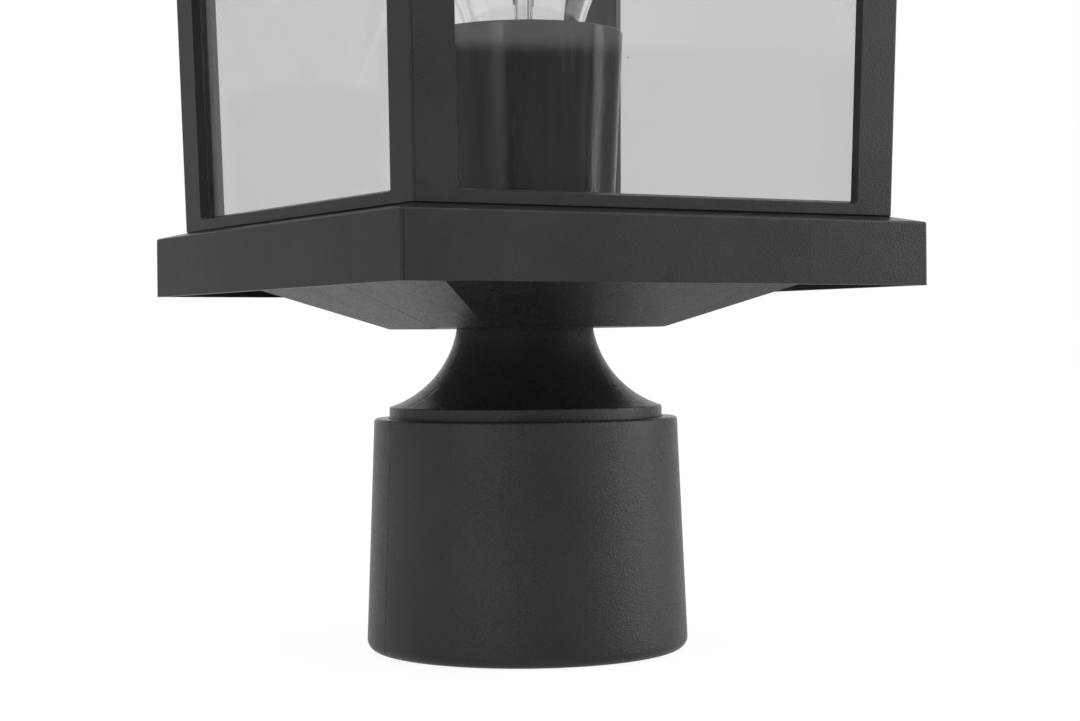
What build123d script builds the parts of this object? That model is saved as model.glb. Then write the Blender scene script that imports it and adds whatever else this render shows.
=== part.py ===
from build123d import *
from math import atan, cos, degrees, sin, sqrt, tan
import os

# Post top lantern. Millimetres, +Z up, origin at the centre of the fitter's open foot.
# The front side faces -Y. Every piece is drawn where it sits in the assembled lantern.

# ---- Driving dimensions ------------------------------------------------------------------

# Post fitter: a cast cup that slips over a round post, with a flared neck above it.
post_diameter = 76.2
post_clearance = 0.9
bore_depth = 57.0
cup_height = 64.0
cup_foot_wall = 5.5
cup_shoulder_wall = 3.1
cup_foot_rounding = 3.0
cup_shoulder_rounding = 0.7
collar_wall = 3.85
collar_height = 3.2
collar_rounding = 0.5
neck_height = 21.46
neck_top_radius = 19.0
neck_curve_radius = 27.3
neck_wall = 3.0
neck_web = 4.0
post_stop_width = 5.0
set_screw_height = 22.0
set_screw_radius = 3.0
set_screw_stand = 3.45
set_screw_setback = 0.2
set_screw_socket = 1.5
set_screw_clearance = 0.05

# Base pan: an inverted hollow pyramid between the neck and the tray.
pan_foot_ledge = 8.88
pan_rim_height = 5.85
pan_wall = 2.2
pan_floor = 2.5
pan_edge_chamfer = 0.4
pan_fit = 0.4

# Base tray: a square plate with a hanging skirt and a slightly raised top.
tray_ledge = 6.67
tray_skirt_height = 16.8
tray_rise_above_pan = 10.24
tray_crown = 1.6
tray_wall = 2.4
tray_plate = 2.6
tray_corner_rounding = 0.9
tray_edge_rounding = 0.6
curb_height = 3.6
curb_wall = 1.5
curb_gap = 0.5

# Cage: one flared casting, a square tube with a window in each side.
cage_foot_half = 71.73
cage_height = 185.0
cage_flare = 0.025
cage_leg_depth = 4.4
cage_corner_rounding = 0.7
cage_foot_chamfer = 0.35
stile_width = 11.8
bottom_rail_height = 3.2
top_rail_height = 14.0
lip_depth = 2.1
lip_bevel = 0.65
window_corner_rounding = 0.8
boss_width = 8.3
boss_height = 3.4
lug_width = 14.0
lug_depth = 9.0
lug_height = 6.5

# Panes and the spring clips that hold them in their rebates.
pane_thickness = 2.0
pane_overlap = 2.6
pane_play = 0.2
clip_width = 7.0
clip_thickness = 0.8
clip_reach = 3.0
clip_height = 118.0
clip_stagger = 13.0
clip_screw_inset = 6.9

# Screws, as shank radius, head radius and head height.
small_screw = (1.4, 2.25, 1.6)
medium_screw = (1.6, 2.9, 2.0)
cage_screw = (1.95, 3.6, 2.4)
screw_play = 0.05
screw_slot = 0.9
clip_screw_bite = 2.4
socket_screw_bite = 6.0
crossbar_screw_bite = 5.0
cage_screw_end_play = 0.3

# Threaded tube that clamps fitter, pan, tray and sleeve together and carries the wires.
nipple_radius = 5.1
nipple_bore_radius = 3.5
nipple_play = 0.2
nipple_top_reach = 3.4
nipple_bottom_reach = 3.6
locknut_flats = 16.0
locknut_height = 4.0
washer_radius = 11.0
washer_thickness = 1.0
bushing_wall = 1.4
bushing_height = 4.0
bushing_lip = 1.2
bushing_hole_radius = 3.0

# Socket sleeve: a tapered cup around the lamp holder.
sleeve_height = 53.1
sleeve_foot_radius = 24.6
sleeve_rim_radius = 27.5
sleeve_wall = 1.8
sleeve_floor = 2.0
sleeve_rim_rounding = 0.6

# Lamp holder.
socket_radius = 18.5
socket_height = 35.5
socket_floor = 7.7
socket_bore_radius = 14.2
socket_rounding = 1.2
socket_hub_radius = 8.0
socket_hub_height = 3.6
socket_hub_play = 0.3
socket_strap_radius = 16.0
socket_strap_thickness = 2.0
socket_screw_spread = 12.2
shell_thickness = 0.5
shell_length = 21.5
shell_play = 0.1
contact_width = 5.0
contact_thickness = 0.6
contact_rise = 0.9

# Clear lamp with a screw base.
lamp_base_radius = 13.1
lamp_base_length = 20.0
lamp_base_wall = 0.5
lamp_play_below = 0.1
lamp_contact_radius = 4.5
lamp_contact_height = 1.6
lamp_insulator_height = 3.4
lamp_insulator_radius = 10.6
lamp_glass_radius = 30.0
lamp_glass_wall = 0.8
lamp_neck_radius = 12.3
lamp_neck_seat = 9.0
lamp_waist_height = 40.4
lamp_waist_radius = 17.5
lamp_belly_height = 76.0
lamp_length = 109.0
stem_foot_radius = 8.0
stem_rod_radius = 2.6
stem_height = 33.0
lead_radius = 0.35
lead_spread = 13.0
lead_rise = 16.0
filament_radius = 0.3
filament_sag = 3.0

# Crossbar and threaded stud under the roof.
crossbar_width = 14.0
crossbar_thickness = 2.0
crossbar_end_play = 0.5
crossbar_drop = 0.3
stud_radius = 3.0
stud_below = 8.0
stud_play = 0.15
stud_nut_flats = 10.0
stud_nut_height = 5.0

# Roof: a low hollow pyramid with a skirt that echoes the base tray.
roof_overhang = 6.7
roof_skirt_height = 16.8
roof_crown = 1.6
roof_wall = 2.4
roof_seat_cover = 1.0
roof_slope = 0.52
roof_top_half = 14.0
roof_boss_radius = 10.5
roof_boss_height = 2.6
roof_ledge_inset = 0.6

# Finial knob and its seal.
seal_radius = 8.6
seal_thickness = 1.6
knob_foot_radius = 9.6
knob_foot_height = 3.0
knob_waist_radius = 5.2
knob_waist_height = 11.0
knob_ball_radius = 9.4
knob_bore_depth = 16.0
stud_in_knob = 13.0

# ---- Worked out from the dimensions above ------------------------------------------------

bore_radius = post_diameter / 2 + post_clearance
cup_foot_radius = bore_radius + cup_foot_wall
cup_shoulder_radius = bore_radius + cup_shoulder_wall
cup_taper = (cup_foot_radius - cup_shoulder_radius) / (cup_height - cup_foot_rounding)
neck_bore_low_radius = bore_radius - post_stop_width
collar_radius = neck_bore_low_radius + collar_wall
neck_z = cup_height + collar_height
pan_z = neck_z + neck_height
skirt_z = pan_z + tray_rise_above_pan
tray_edge_z = skirt_z + tray_skirt_height
tray_z = tray_edge_z + tray_crown
tray_underside_z = tray_z - tray_plate
tray_half = cage_foot_half + tray_ledge
pan_foot_half = neck_top_radius + pan_foot_ledge
pan_rim_half = tray_half - tray_wall - pan_fit
pan_rim_z = tray_underside_z - pan_rim_height
pan_slope = (pan_rim_z - pan_z) / (pan_rim_half - pan_foot_half)
cage_top_z = tray_z + cage_height
cage_top_half = cage_foot_half + cage_flare * cage_height
flare_angle = atan(cage_flare)
side_turns = {"front": 0, "right": 90, "rear": 180, "left": 270}
side_length = cage_height / cos(flare_angle)

sleeve_locknut_z = tray_z + sleeve_floor
strap_z = sleeve_locknut_z + locknut_height
socket_z = strap_z + socket_strap_thickness
socket_cavity_z = socket_z + socket_floor
lamp_z = socket_cavity_z + contact_thickness + contact_rise + lamp_play_below
lamp_base_z = lamp_z + lamp_contact_height + lamp_insulator_height
lamp_base_top_z = lamp_base_z + lamp_base_length
neck_web_z = pan_z - neck_web
neck_washer_z = neck_web_z - washer_thickness
neck_locknut_z = neck_washer_z - locknut_height
nipple_low_z = neck_locknut_z - nipple_bottom_reach
nipple_high_z = strap_z + nipple_top_reach

crossbar_z = cage_top_z - crossbar_thickness - medium_screw[2] - crossbar_drop
roof_half = cage_top_half + roof_overhang
roof_edge_z = cage_top_z + roof_seat_cover
roof_crown_z = roof_edge_z + roof_crown
roof_skirt_z = roof_edge_z - roof_skirt_height
roof_top_z = roof_crown_z + (cage_top_half - roof_top_half) * roof_slope
roof_boss_z = roof_top_z + roof_boss_height
knob_z = roof_boss_z + seal_thickness


def square(z, half, rounding=0.0):
    """Horizontal square of a half-width at a height, with rounded corners."""
    with BuildSketch(Plane.XY.offset(z)) as section:
        Rectangle(2 * half, 2 * half)
        if rounding > 0:
            fillet(section.vertices(), rounding)
    return section.sketch


def disc(z, radius):
    """Horizontal disc at a height."""
    with BuildSketch(Plane.XY.offset(z)) as section:
        Circle(radius)
    return section.sketch


def hexagon(z, flats):
    """Horizontal hexagon at a height, measured across its flats."""
    with BuildSketch(Plane.XY.offset(z)) as section:
        RegularPolygon(flats / 2, 6, major_radius=False)
    return section.sketch


def side_plane(turn, depth=0.0):
    """Plane on a flared side of the cage: Z outwards, Y up the flare, at a depth inwards."""
    outward = Vector(0, -cos(flare_angle), -sin(flare_angle)).rotate(Axis.Z, turn)
    along = Vector(1, 0, 0).rotate(Axis.Z, turn)
    foot = Vector(0, -cage_foot_half, tray_z).rotate(Axis.Z, turn)
    return Plane(origin=foot - outward * depth, x_dir=along, z_dir=outward)


def half_side(height):
    """Half-width of a cage side at a distance up the flare from its foot."""
    return cage_foot_half + height * sin(flare_angle)


def window(turn, depth, margin, rounding=0.0):
    """Window outline on a side of the cage, grown by a margin all round."""
    low = bottom_rail_height - margin
    high = side_length - top_rail_height + margin
    low_half = half_side(low) - stile_width + margin
    high_half = half_side(high) - stile_width + margin
    with BuildSketch(side_plane(turn, depth)) as outline:
        with BuildLine():
            Polyline(
                (-low_half, low),
                (low_half, low),
                (high_half, high),
                (-high_half, high),
                close=True,
            )
        make_face()
        if rounding > 0:
            fillet(outline.vertices(), rounding)
    return outline.sketch


def pan_height(half):
    """Height of the pan's outer facets at a half-width."""
    return pan_z + (half - pan_foot_half) * pan_slope


# ---- Post fitter -------------------------------------------------------------------------

neck_bore_top_radius = neck_top_radius - neck_wall
throat_z = neck_z - neck_wall * 0.6

with BuildPart() as post_fitter:
    with BuildSketch(Plane.XZ) as casting:
        with BuildLine():
            foot = Line((bore_radius, 0), (cup_foot_radius - cup_foot_rounding, 0))
            toe = ThreePointArc(
                foot @ 1,
                (cup_foot_radius - cup_foot_rounding * (1 - sqrt(0.5)), cup_foot_rounding * (1 - sqrt(0.5))),
                (cup_foot_radius, cup_foot_rounding),
            )
            flank = Line(toe @ 1, (cup_shoulder_radius, cup_height - cup_shoulder_rounding))
            shoulder = TangentArc(
                flank @ 1,
                (cup_shoulder_radius - cup_shoulder_rounding, cup_height),
                tangent=flank % 1,
            )
            ledge = Line(shoulder @ 1, (collar_radius, cup_height))
            collar = Line(ledge @ 1, (collar_radius, neck_z))
            neck = RadiusArc(collar @ 1, (neck_top_radius, pan_z), neck_curve_radius)
            seat = Line(neck @ 1, (0, pan_z))
            axis_line = Line(seat @ 1, (0, neck_web_z))
            ceiling = Line(axis_line @ 1, (neck_bore_top_radius, neck_web_z))
            throat = RadiusArc(
                ceiling @ 1,
                (neck_bore_low_radius, throat_z),
                -neck_curve_radius - neck_wall,
            )
            stop_wall = Line(throat @ 1, (neck_bore_low_radius, bore_depth))
            post_stop = Line(stop_wall @ 1, (bore_radius, bore_depth))
            Line(post_stop @ 1, foot @ 0)
        make_face()
    revolve(axis=Axis.Z)
    with Locations((0, 0, pan_z)):
        Hole(nipple_radius + nipple_play)
    for turn in (0, 90):
        with BuildSketch(Plane.YZ.rotated((0, 0, turn))) as tapped_hole:
            with Locations((0, set_screw_height)):
                Circle(set_screw_radius + set_screw_clearance)
        extrude(amount=cup_foot_radius, mode=Mode.SUBTRACT)
post_fitter.part.label = "post_fitter"

cup_wall_at_screw = cup_foot_wall - cup_taper * (set_screw_height - cup_foot_rounding)
set_screw_length = cup_wall_at_screw - set_screw_setback + set_screw_stand

for number, turn in enumerate((0, 90), start=1):
    screw_plane = Plane.YZ.rotated((0, 0, turn)).offset(bore_radius + set_screw_setback)
    with BuildPart() as fitter_set_screw:
        with BuildSketch(screw_plane) as screw_body:
            with Locations((0, set_screw_height)):
                Circle(set_screw_radius)
        extrude(amount=set_screw_length)
        chamfer(fitter_set_screw.edges().filter_by(GeomType.CIRCLE), set_screw_radius / 8)
        with BuildSketch(screw_plane.offset(set_screw_length)) as key_socket:
            with Locations((0, set_screw_height)):
                RegularPolygon(set_screw_socket, 6, major_radius=False)
        extrude(amount=-set_screw_length / 2, mode=Mode.SUBTRACT)
    fitter_set_screw.part.label = f"fitter_set_screw_{number}"
    os.makedirs("parts", exist_ok=True)
    export_step(fitter_set_screw.part, f"parts/fitter_set_screw_{number}.step")

# ---- Base pan ----------------------------------------------------------------------------

pan_wall_drop = pan_wall * sqrt(1 + pan_slope**2)
pan_inner_half = pan_rim_half - pan_wall
pan_floor_half = pan_foot_half + (pan_floor - pan_wall_drop) / pan_slope
pan_inner_rim_z = pan_height(pan_inner_half) + pan_wall_drop

with BuildPart() as base_pan:
    loft([square(pan_z, pan_foot_half), square(pan_rim_z, pan_rim_half)], ruled=True)
    extrude(square(pan_rim_z, pan_rim_half), amount=tray_underside_z - pan_rim_z)
    chamfer(base_pan.faces().sort_by(Axis.Z)[0].edges(), pan_edge_chamfer)
    loft(
        [square(pan_z + pan_floor, pan_floor_half), square(pan_inner_rim_z, pan_inner_half)],
        ruled=True,
        mode=Mode.SUBTRACT,
    )
    extrude(
        square(pan_inner_rim_z, pan_inner_half),
        amount=tray_underside_z - pan_inner_rim_z,
        mode=Mode.SUBTRACT,
    )
    with Locations((0, 0, pan_z + pan_floor)):
        Hole(nipple_radius + nipple_play)
base_pan.part.label = "base_pan"

# ---- Base tray ---------------------------------------------------------------------------

cage_screw_spread = 2 * (cage_foot_half - cage_leg_depth - boss_width / 2)
curb_outer = cage_foot_half - cage_leg_depth - curb_gap
curb_length = 2 * (curb_outer - boss_width - 2 * curb_gap)

with BuildPart() as base_tray:
    extrude(square(skirt_z, tray_half, tray_corner_rounding), amount=tray_skirt_height)
    loft(
        [
            square(tray_edge_z, tray_half, tray_corner_rounding),
            square(tray_z, cage_foot_half, tray_corner_rounding),
        ],
        ruled=True,
    )
    fillet(
        base_tray.edges().filter_by(GeomType.LINE).filter_by_position(Axis.Z, tray_edge_z, tray_edge_z),
        tray_edge_rounding,
    )
    extrude(
        square(skirt_z, tray_half - tray_wall),
        amount=tray_underside_z - skirt_z,
        mode=Mode.SUBTRACT,
    )
    for turn in side_turns.values():
        with BuildSketch(Plane.XY.offset(tray_z).rotated((0, 0, turn))) as curb:
            with Locations((0, -curb_outer + curb_wall / 2)):
                Rectangle(curb_length, curb_wall)
        extrude(amount=curb_height)
    with Locations((0, 0, tray_z)):
        Hole(nipple_radius + nipple_play)
        with GridLocations(cage_screw_spread, cage_screw_spread, 2, 2):
            Hole(cage_screw[0] + 2 * nipple_play)
base_tray.part.label = "base_tray"

# ---- Cage --------------------------------------------------------------------------------

cage_inner_half = cage_foot_half - cage_leg_depth
boss_center = cage_inner_half - boss_width / 2
lug_center_x = cage_top_half - cage_leg_depth - lug_depth / 2 + 1.0
lug_top_z = crossbar_z
crossbar_screw_x = cage_top_half - cage_leg_depth - lug_depth / 2

with BuildPart() as cage_frame:
    loft(
        [
            square(tray_z, cage_foot_half, cage_corner_rounding),
            square(cage_top_z, cage_top_half, cage_corner_rounding),
        ],
        ruled=True,
    )
    chamfer(cage_frame.faces().sort_by(Axis.Z)[0].edges(), cage_foot_chamfer)
    loft(
        [
            square(tray_z, cage_inner_half),
            square(cage_top_z, cage_top_half - cage_leg_depth),
        ],
        ruled=True,
        mode=Mode.SUBTRACT,
    )
    for turn in side_turns.values():
        extrude(
            window(turn, 0, 0, window_corner_rounding),
            amount=-lip_depth,
            taper=degrees(atan(lip_bevel / lip_depth)),
            mode=Mode.SUBTRACT,
        )
        extrude(
            window(turn, lip_depth, pane_overlap),
            amount=-cage_leg_depth,
            mode=Mode.SUBTRACT,
        )
    with BuildSketch(Plane.XY.offset(tray_z)) as bosses:
        with GridLocations(2 * boss_center, 2 * boss_center, 2, 2):
            Rectangle(boss_width - 2 * pane_play, boss_width - 2 * pane_play)
        with GridLocations(2 * cage_inner_half, 2 * cage_inner_half, 2, 2):
            Rectangle(boss_width - clip_reach, boss_width - clip_reach)
    extrude(amount=boss_height)
    with Locations((0, 0, tray_z)):
        with GridLocations(cage_screw_spread, cage_screw_spread, 2, 2):
            Hole(cage_screw[0] + screw_play, depth=2 * boss_height)
    with BuildSketch(Plane.XY.offset(lug_top_z)) as lugs:
        with Locations((-lug_center_x, 0), (lug_center_x, 0)):
            Rectangle(lug_depth + 2.0, lug_width)
    extrude(amount=-lug_height)
    with Locations((-crossbar_screw_x, 0, lug_top_z), (crossbar_screw_x, 0, lug_top_z)):
        Hole(medium_screw[0] + screw_play, depth=crossbar_screw_bite + 0.5)
    clip_screw_points = []
    for side, turn in side_turns.items():
        up = clip_height + (clip_stagger if side in ("left", "right") else 0)
        along = half_side(up) - clip_screw_inset
        clip_screw_points.append((turn, up, along))
        with Locations(side_plane(turn, cage_leg_depth)):
            with Locations((-along, up), (along, up)):
                Hole(small_screw[0] + screw_play, depth=clip_screw_bite + 0.2)
cage_frame.part.label = "cage_frame"

# ---- Panes, clips and clip screws --------------------------------------------------------

for side, turn in side_turns.items():
    with BuildPart() as pane:
        extrude(
            window(turn, lip_depth + pane_play / 2, pane_overlap - pane_play),
            amount=-pane_thickness,
        )
    pane.part.label = f"{side}_pane"
    export_step(pane.part, f"parts/{side}_pane.step")

clip_back = clip_screw_inset - cage_leg_depth - pane_play
clip_length = stile_width - pane_overlap + clip_reach - clip_screw_inset + clip_back

with BuildPart() as pane_clips:
    for turn, up, along in clip_screw_points:
        for hand in (-1, 1):
            clip_middle = hand * (along + clip_back - clip_length / 2)
            with BuildSketch(side_plane(turn, cage_leg_depth)) as strip:
                with Locations((clip_middle, up)):
                    Rectangle(clip_length, clip_width)
                with Locations((hand * along, up)):
                    Circle(small_screw[0] + 2 * screw_play, mode=Mode.SUBTRACT)
            extrude(amount=-clip_thickness)
            with BuildSketch(side_plane(turn, cage_leg_depth + clip_thickness)) as rib:
                with Locations((hand * (along + clip_back - clip_length + clip_thickness), up)):
                    Rectangle(clip_thickness, clip_width * 0.7)
            extrude(amount=-clip_thickness)
pane_clips.part.label = "pane_clips"


def slotted_screw(plane, points, bite, sizes):
    """Group of slotted screws: heads stand off the plane along its Z, shanks run into it."""
    shank_radius, head_radius, head_height = sizes
    with BuildPart() as screws:
        with BuildSketch(plane.offset(-bite)):
            with Locations(*points):
                Circle(shank_radius)
        extrude(amount=bite)
        with BuildSketch(plane):
            with Locations(*points):
                Circle(head_radius)
        extrude(amount=head_height)
        with BuildSketch(plane.offset(head_height)):
            with Locations(*points):
                Rectangle(2 * head_radius, screw_slot)
        extrude(amount=-head_height / 2, mode=Mode.SUBTRACT)
    return screws.part


clip_screw_groups = [
    slotted_screw(
        Plane(
            origin=side_plane(turn, cage_leg_depth + clip_thickness).origin,
            x_dir=side_plane(turn).x_dir,
            z_dir=-side_plane(turn).z_dir,
        ),
        [(-along, -up), (along, -up)],
        clip_screw_bite,
        small_screw,
    )
    for turn, up, along in clip_screw_points
]
with BuildPart() as pane_clip_screws:
    for group in clip_screw_groups:
        add(group)
pane_clip_screws.part.label = "pane_clip_screws"

# ---- Cage screws, driven up through the tray ---------------------------------------------

corner = cage_screw_spread / 2
with BuildPart() as cage_screws:
    add(
        slotted_screw(
            Plane(origin=(0, 0, tray_underside_z), x_dir=(1, 0, 0), z_dir=(0, 0, -1)),
            [(-corner, -corner), (corner, -corner), (-corner, corner), (corner, corner)],
            tray_plate + boss_height - cage_screw_end_play,
            cage_screw,
        )
    )
cage_screws.part.label = "cage_screws"

# ---- Threaded tube, nuts, washer and wire bushing -----------------------------------------

with BuildPart() as centre_nipple:
    extrude(disc(nipple_low_z, nipple_radius), amount=nipple_high_z - nipple_low_z)
    chamfer(centre_nipple.edges().filter_by(GeomType.CIRCLE), nipple_play)
    extrude(
        disc(nipple_low_z, nipple_bore_radius),
        amount=nipple_high_z - nipple_low_z,
        mode=Mode.SUBTRACT,
    )
centre_nipple.part.label = "centre_nipple"

with BuildPart() as neck_washer:
    extrude(disc(neck_washer_z, washer_radius), amount=washer_thickness)
    extrude(disc(neck_washer_z, nipple_radius + nipple_play), amount=washer_thickness, mode=Mode.SUBTRACT)
neck_washer.part.label = "neck_washer"

with BuildPart() as neck_locknut:
    extrude(hexagon(neck_locknut_z, locknut_flats), amount=locknut_height)
    extrude(disc(neck_locknut_z, nipple_radius + screw_play), amount=locknut_height, mode=Mode.SUBTRACT)
neck_locknut.part.label = "neck_locknut"

with BuildPart() as sleeve_locknut:
    extrude(hexagon(sleeve_locknut_z, locknut_flats), amount=locknut_height)
    extrude(
        disc(sleeve_locknut_z, nipple_radius + screw_play),
        amount=locknut_height,
        mode=Mode.SUBTRACT,
    )
sleeve_locknut.part.label = "sleeve_locknut"

bushing_z = nipple_low_z - bushing_lip
with BuildPart() as wire_bushing:
    extrude(disc(bushing_z, nipple_radius + bushing_wall), amount=bushing_height)
    fillet(wire_bushing.edges().sort_by(Axis.Z)[0], bushing_lip / 2)
    extrude(disc(nipple_low_z, nipple_radius + screw_play), amount=bushing_height, mode=Mode.SUBTRACT)
    extrude(disc(bushing_z, bushing_hole_radius), amount=bushing_height, mode=Mode.SUBTRACT)
wire_bushing.part.label = "wire_bushing"

# ---- Socket sleeve -----------------------------------------------------------------------

sleeve_rim_z = tray_z + sleeve_height
sleeve_inner_foot_radius = sleeve_foot_radius - sleeve_wall
sleeve_inner_rim_radius = sleeve_rim_radius - sleeve_wall

with BuildPart() as socket_sleeve:
    with BuildSketch(Plane.XZ) as sleeve_wall_section:
        with BuildLine():
            Polyline(
                (nipple_radius + nipple_play, tray_z),
                (sleeve_foot_radius, tray_z),
                (sleeve_rim_radius, sleeve_rim_z),
                (sleeve_inner_rim_radius, sleeve_rim_z),
                (sleeve_inner_foot_radius, tray_z + sleeve_floor),
                (nipple_radius + nipple_play, tray_z + sleeve_floor),
                close=True,
            )
        make_face()
        rim_corner = sleeve_wall_section.vertices().sort_by_distance((sleeve_rim_radius, 0, sleeve_rim_z))[0]
        fillet(rim_corner, sleeve_rim_rounding)
    revolve(axis=Axis.Z)
socket_sleeve.part.label = "socket_sleeve"

# ---- Lamp holder -------------------------------------------------------------------------

with BuildPart() as socket_strap:
    extrude(disc(strap_z, socket_strap_radius), amount=socket_strap_thickness)
    with BuildSketch(Plane.XY.offset(strap_z)) as flats:
        with Locations((0, -socket_strap_radius), (0, socket_strap_radius)):
            Rectangle(2 * socket_strap_radius, socket_strap_radius)
    extrude(amount=socket_strap_thickness, mode=Mode.SUBTRACT)
    extrude(disc(socket_z, socket_hub_radius), amount=socket_hub_height)
    with Locations((0, 0, socket_z)):
        Hole(nipple_radius + screw_play)
        with Locations((-socket_screw_spread, 0), (socket_screw_spread, 0)):
            Hole(small_screw[0] + 2 * screw_play)
socket_strap.part.label = "socket_strap"

with BuildPart() as socket_screws:
    add(
        slotted_screw(
            Plane(origin=(0, 0, strap_z), x_dir=(1, 0, 0), z_dir=(0, 0, -1)),
            [(-socket_screw_spread, 0), (socket_screw_spread, 0)],
            socket_strap_thickness + socket_screw_bite,
            small_screw,
        )
    )
socket_screws.part.label = "socket_screws"

with BuildPart() as socket_body:
    extrude(disc(socket_z, socket_radius), amount=socket_height)
    fillet(socket_body.edges().filter_by(GeomType.CIRCLE), socket_rounding)
    extrude(disc(socket_cavity_z, socket_bore_radius), amount=socket_height, mode=Mode.SUBTRACT)
    extrude(
        disc(socket_z, socket_hub_radius + socket_hub_play),
        amount=socket_hub_height + socket_hub_play,
        mode=Mode.SUBTRACT,
    )
    with BuildSketch(Plane.XY.offset(socket_z)) as screw_holes:
        with Locations((-socket_screw_spread, 0), (socket_screw_spread, 0)):
            Circle(small_screw[0] + screw_play)
    extrude(amount=socket_screw_bite + socket_hub_play, mode=Mode.SUBTRACT)
socket_body.part.label = "socket_body"

shell_radius = socket_bore_radius - shell_play
shell_z = socket_cavity_z + contact_thickness + contact_rise
with BuildPart() as socket_screw_shell:
    extrude(disc(shell_z, shell_radius), amount=shell_length)
    extrude(disc(shell_z, shell_radius - shell_thickness), amount=shell_length, mode=Mode.SUBTRACT)
socket_screw_shell.part.label = "socket_screw_shell"

contact_reach = socket_bore_radius - contact_width / 2 - shell_play
with BuildPart() as socket_contact:
    with BuildSketch(Plane.XZ.offset(-contact_width / 2)) as spring_strip:
        with BuildLine():
            Polyline(
                (-contact_reach, socket_cavity_z),
                (-contact_reach, socket_cavity_z + contact_thickness),
                (-contact_width, socket_cavity_z + contact_thickness),
                (-contact_width / 2, socket_cavity_z + contact_thickness + contact_rise),
                (contact_width / 2, socket_cavity_z + contact_thickness + contact_rise),
                (contact_width / 2, socket_cavity_z + contact_rise),
                (-contact_width / 2 + contact_thickness / 2, socket_cavity_z + contact_rise),
                (-contact_width + contact_thickness / 2, socket_cavity_z),
                close=True,
            )
        make_face()
    extrude(amount=contact_width)
socket_contact.part.label = "socket_contact"

# ---- Lamp --------------------------------------------------------------------------------

with BuildPart() as bulb_contact:
    extrude(disc(lamp_z, lamp_contact_radius), amount=lamp_contact_height)
    fillet(bulb_contact.edges().sort_by(Axis.Z)[0], lamp_contact_height / 3)
bulb_contact.part.label = "bulb_contact"

with BuildPart() as bulb_insulator:
    loft(
        [
            disc(lamp_z + lamp_contact_height, lamp_contact_radius + 1.0),
            disc(lamp_base_z, lamp_insulator_radius),
        ]
    )
bulb_insulator.part.label = "bulb_insulator"

with BuildPart() as bulb_screw_shell:
    with BuildSketch(Plane.XZ) as base_section:
        with BuildLine():
            Polyline(
                (0, lamp_base_z),
                (lamp_insulator_radius, lamp_base_z),
                (lamp_base_radius, lamp_base_z + lamp_base_radius - lamp_insulator_radius),
                (lamp_base_radius, lamp_base_top_z),
                (lamp_base_radius - lamp_base_wall, lamp_base_top_z),
                (
                    lamp_base_radius - lamp_base_wall,
                    lamp_base_z + lamp_base_radius - lamp_insulator_radius + lamp_base_wall,
                ),
                (lamp_insulator_radius - lamp_base_wall, lamp_base_z + lamp_base_wall),
                (0, lamp_base_z + lamp_base_wall),
                close=True,
            )
        make_face()
    revolve(axis=Axis.Z)
bulb_screw_shell.part.label = "bulb_screw_shell"


def lamp_silhouette(inset):
    """Closed half-section of the lamp's envelope, drawn in from the outside by an inset."""
    neck = lamp_neck_radius - inset
    seat = lamp_base_top_z - lamp_neck_seat
    with BuildSketch(Plane.XZ) as half_section:
        with BuildLine():
            low = Line((0, seat), (neck, seat))
            throat = Line(low @ 1, (neck, lamp_base_top_z))
            flank = Spline(
                throat @ 1,
                (lamp_waist_radius - inset, lamp_z + lamp_waist_height),
                (lamp_glass_radius - inset, lamp_z + lamp_belly_height),
                tangents=[(0.12, 1), (0, 1)],
            )
            crown = Spline(
                flank @ 1,
                (0, lamp_z + lamp_length - inset),
                tangents=[(0, 1), (-1, 0)],
            )
            Line(crown @ 1, low @ 0)
        make_face()
    return half_section.sketch


with BuildPart() as bulb_glass:
    revolve(lamp_silhouette(0), axis=Axis.Z)
    revolve(lamp_silhouette(lamp_glass_wall), axis=Axis.Z, mode=Mode.SUBTRACT)
    extrude(
        disc(lamp_base_top_z - lamp_neck_seat - 1.0, lamp_neck_radius - lamp_glass_wall),
        amount=2.0,
        mode=Mode.SUBTRACT,
    )
bulb_glass.part.label = "bulb_glass"

stem_z = lamp_base_top_z - lamp_neck_seat
stem_top_z = stem_z + stem_height
with BuildPart() as bulb_stem:
    with BuildSketch(Plane.XZ) as stem_section:
        with BuildLine():
            foot = Line((0, stem_z), (lamp_neck_radius - lamp_glass_wall - 0.3, stem_z))
            skirt = Line(foot @ 1, (stem_foot_radius, stem_z + 2.0))
            waist = Spline(
                skirt @ 1,
                (stem_rod_radius, stem_z + stem_height / 2),
                tangents=[(-0.6, 1), (0, 1)],
            )
            rod = Line(waist @ 1, (stem_rod_radius, stem_top_z - stem_rod_radius))
            tip = TangentArc(rod @ 1, (0, stem_top_z), tangent=rod % 1)
            Line(tip @ 1, foot @ 0)
        make_face()
    revolve(axis=Axis.Z)
bulb_stem.part.label = "bulb_stem"

lead_foot_z = stem_top_z - 2 * stem_rod_radius
lead_top_z = stem_top_z + lead_rise
with BuildPart() as bulb_lead_wires:
    for hand in (-1, 1):
        with BuildLine() as lead_path:
            FilletPolyline(
                (hand * (stem_rod_radius + lead_radius + 0.05), 0, lead_foot_z),
                (hand * (stem_rod_radius + lead_radius + 0.05), 0, stem_top_z),
                (hand * lead_spread, 0, lead_top_z),
                radius=6.0,
            )
        with BuildSketch(Plane(lead_path.line @ 0, z_dir=lead_path.line % 0)) as lead_section:
            Circle(lead_radius)
        sweep(path=lead_path.line)
bulb_lead_wires.part.label = "bulb_lead_wires"

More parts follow.
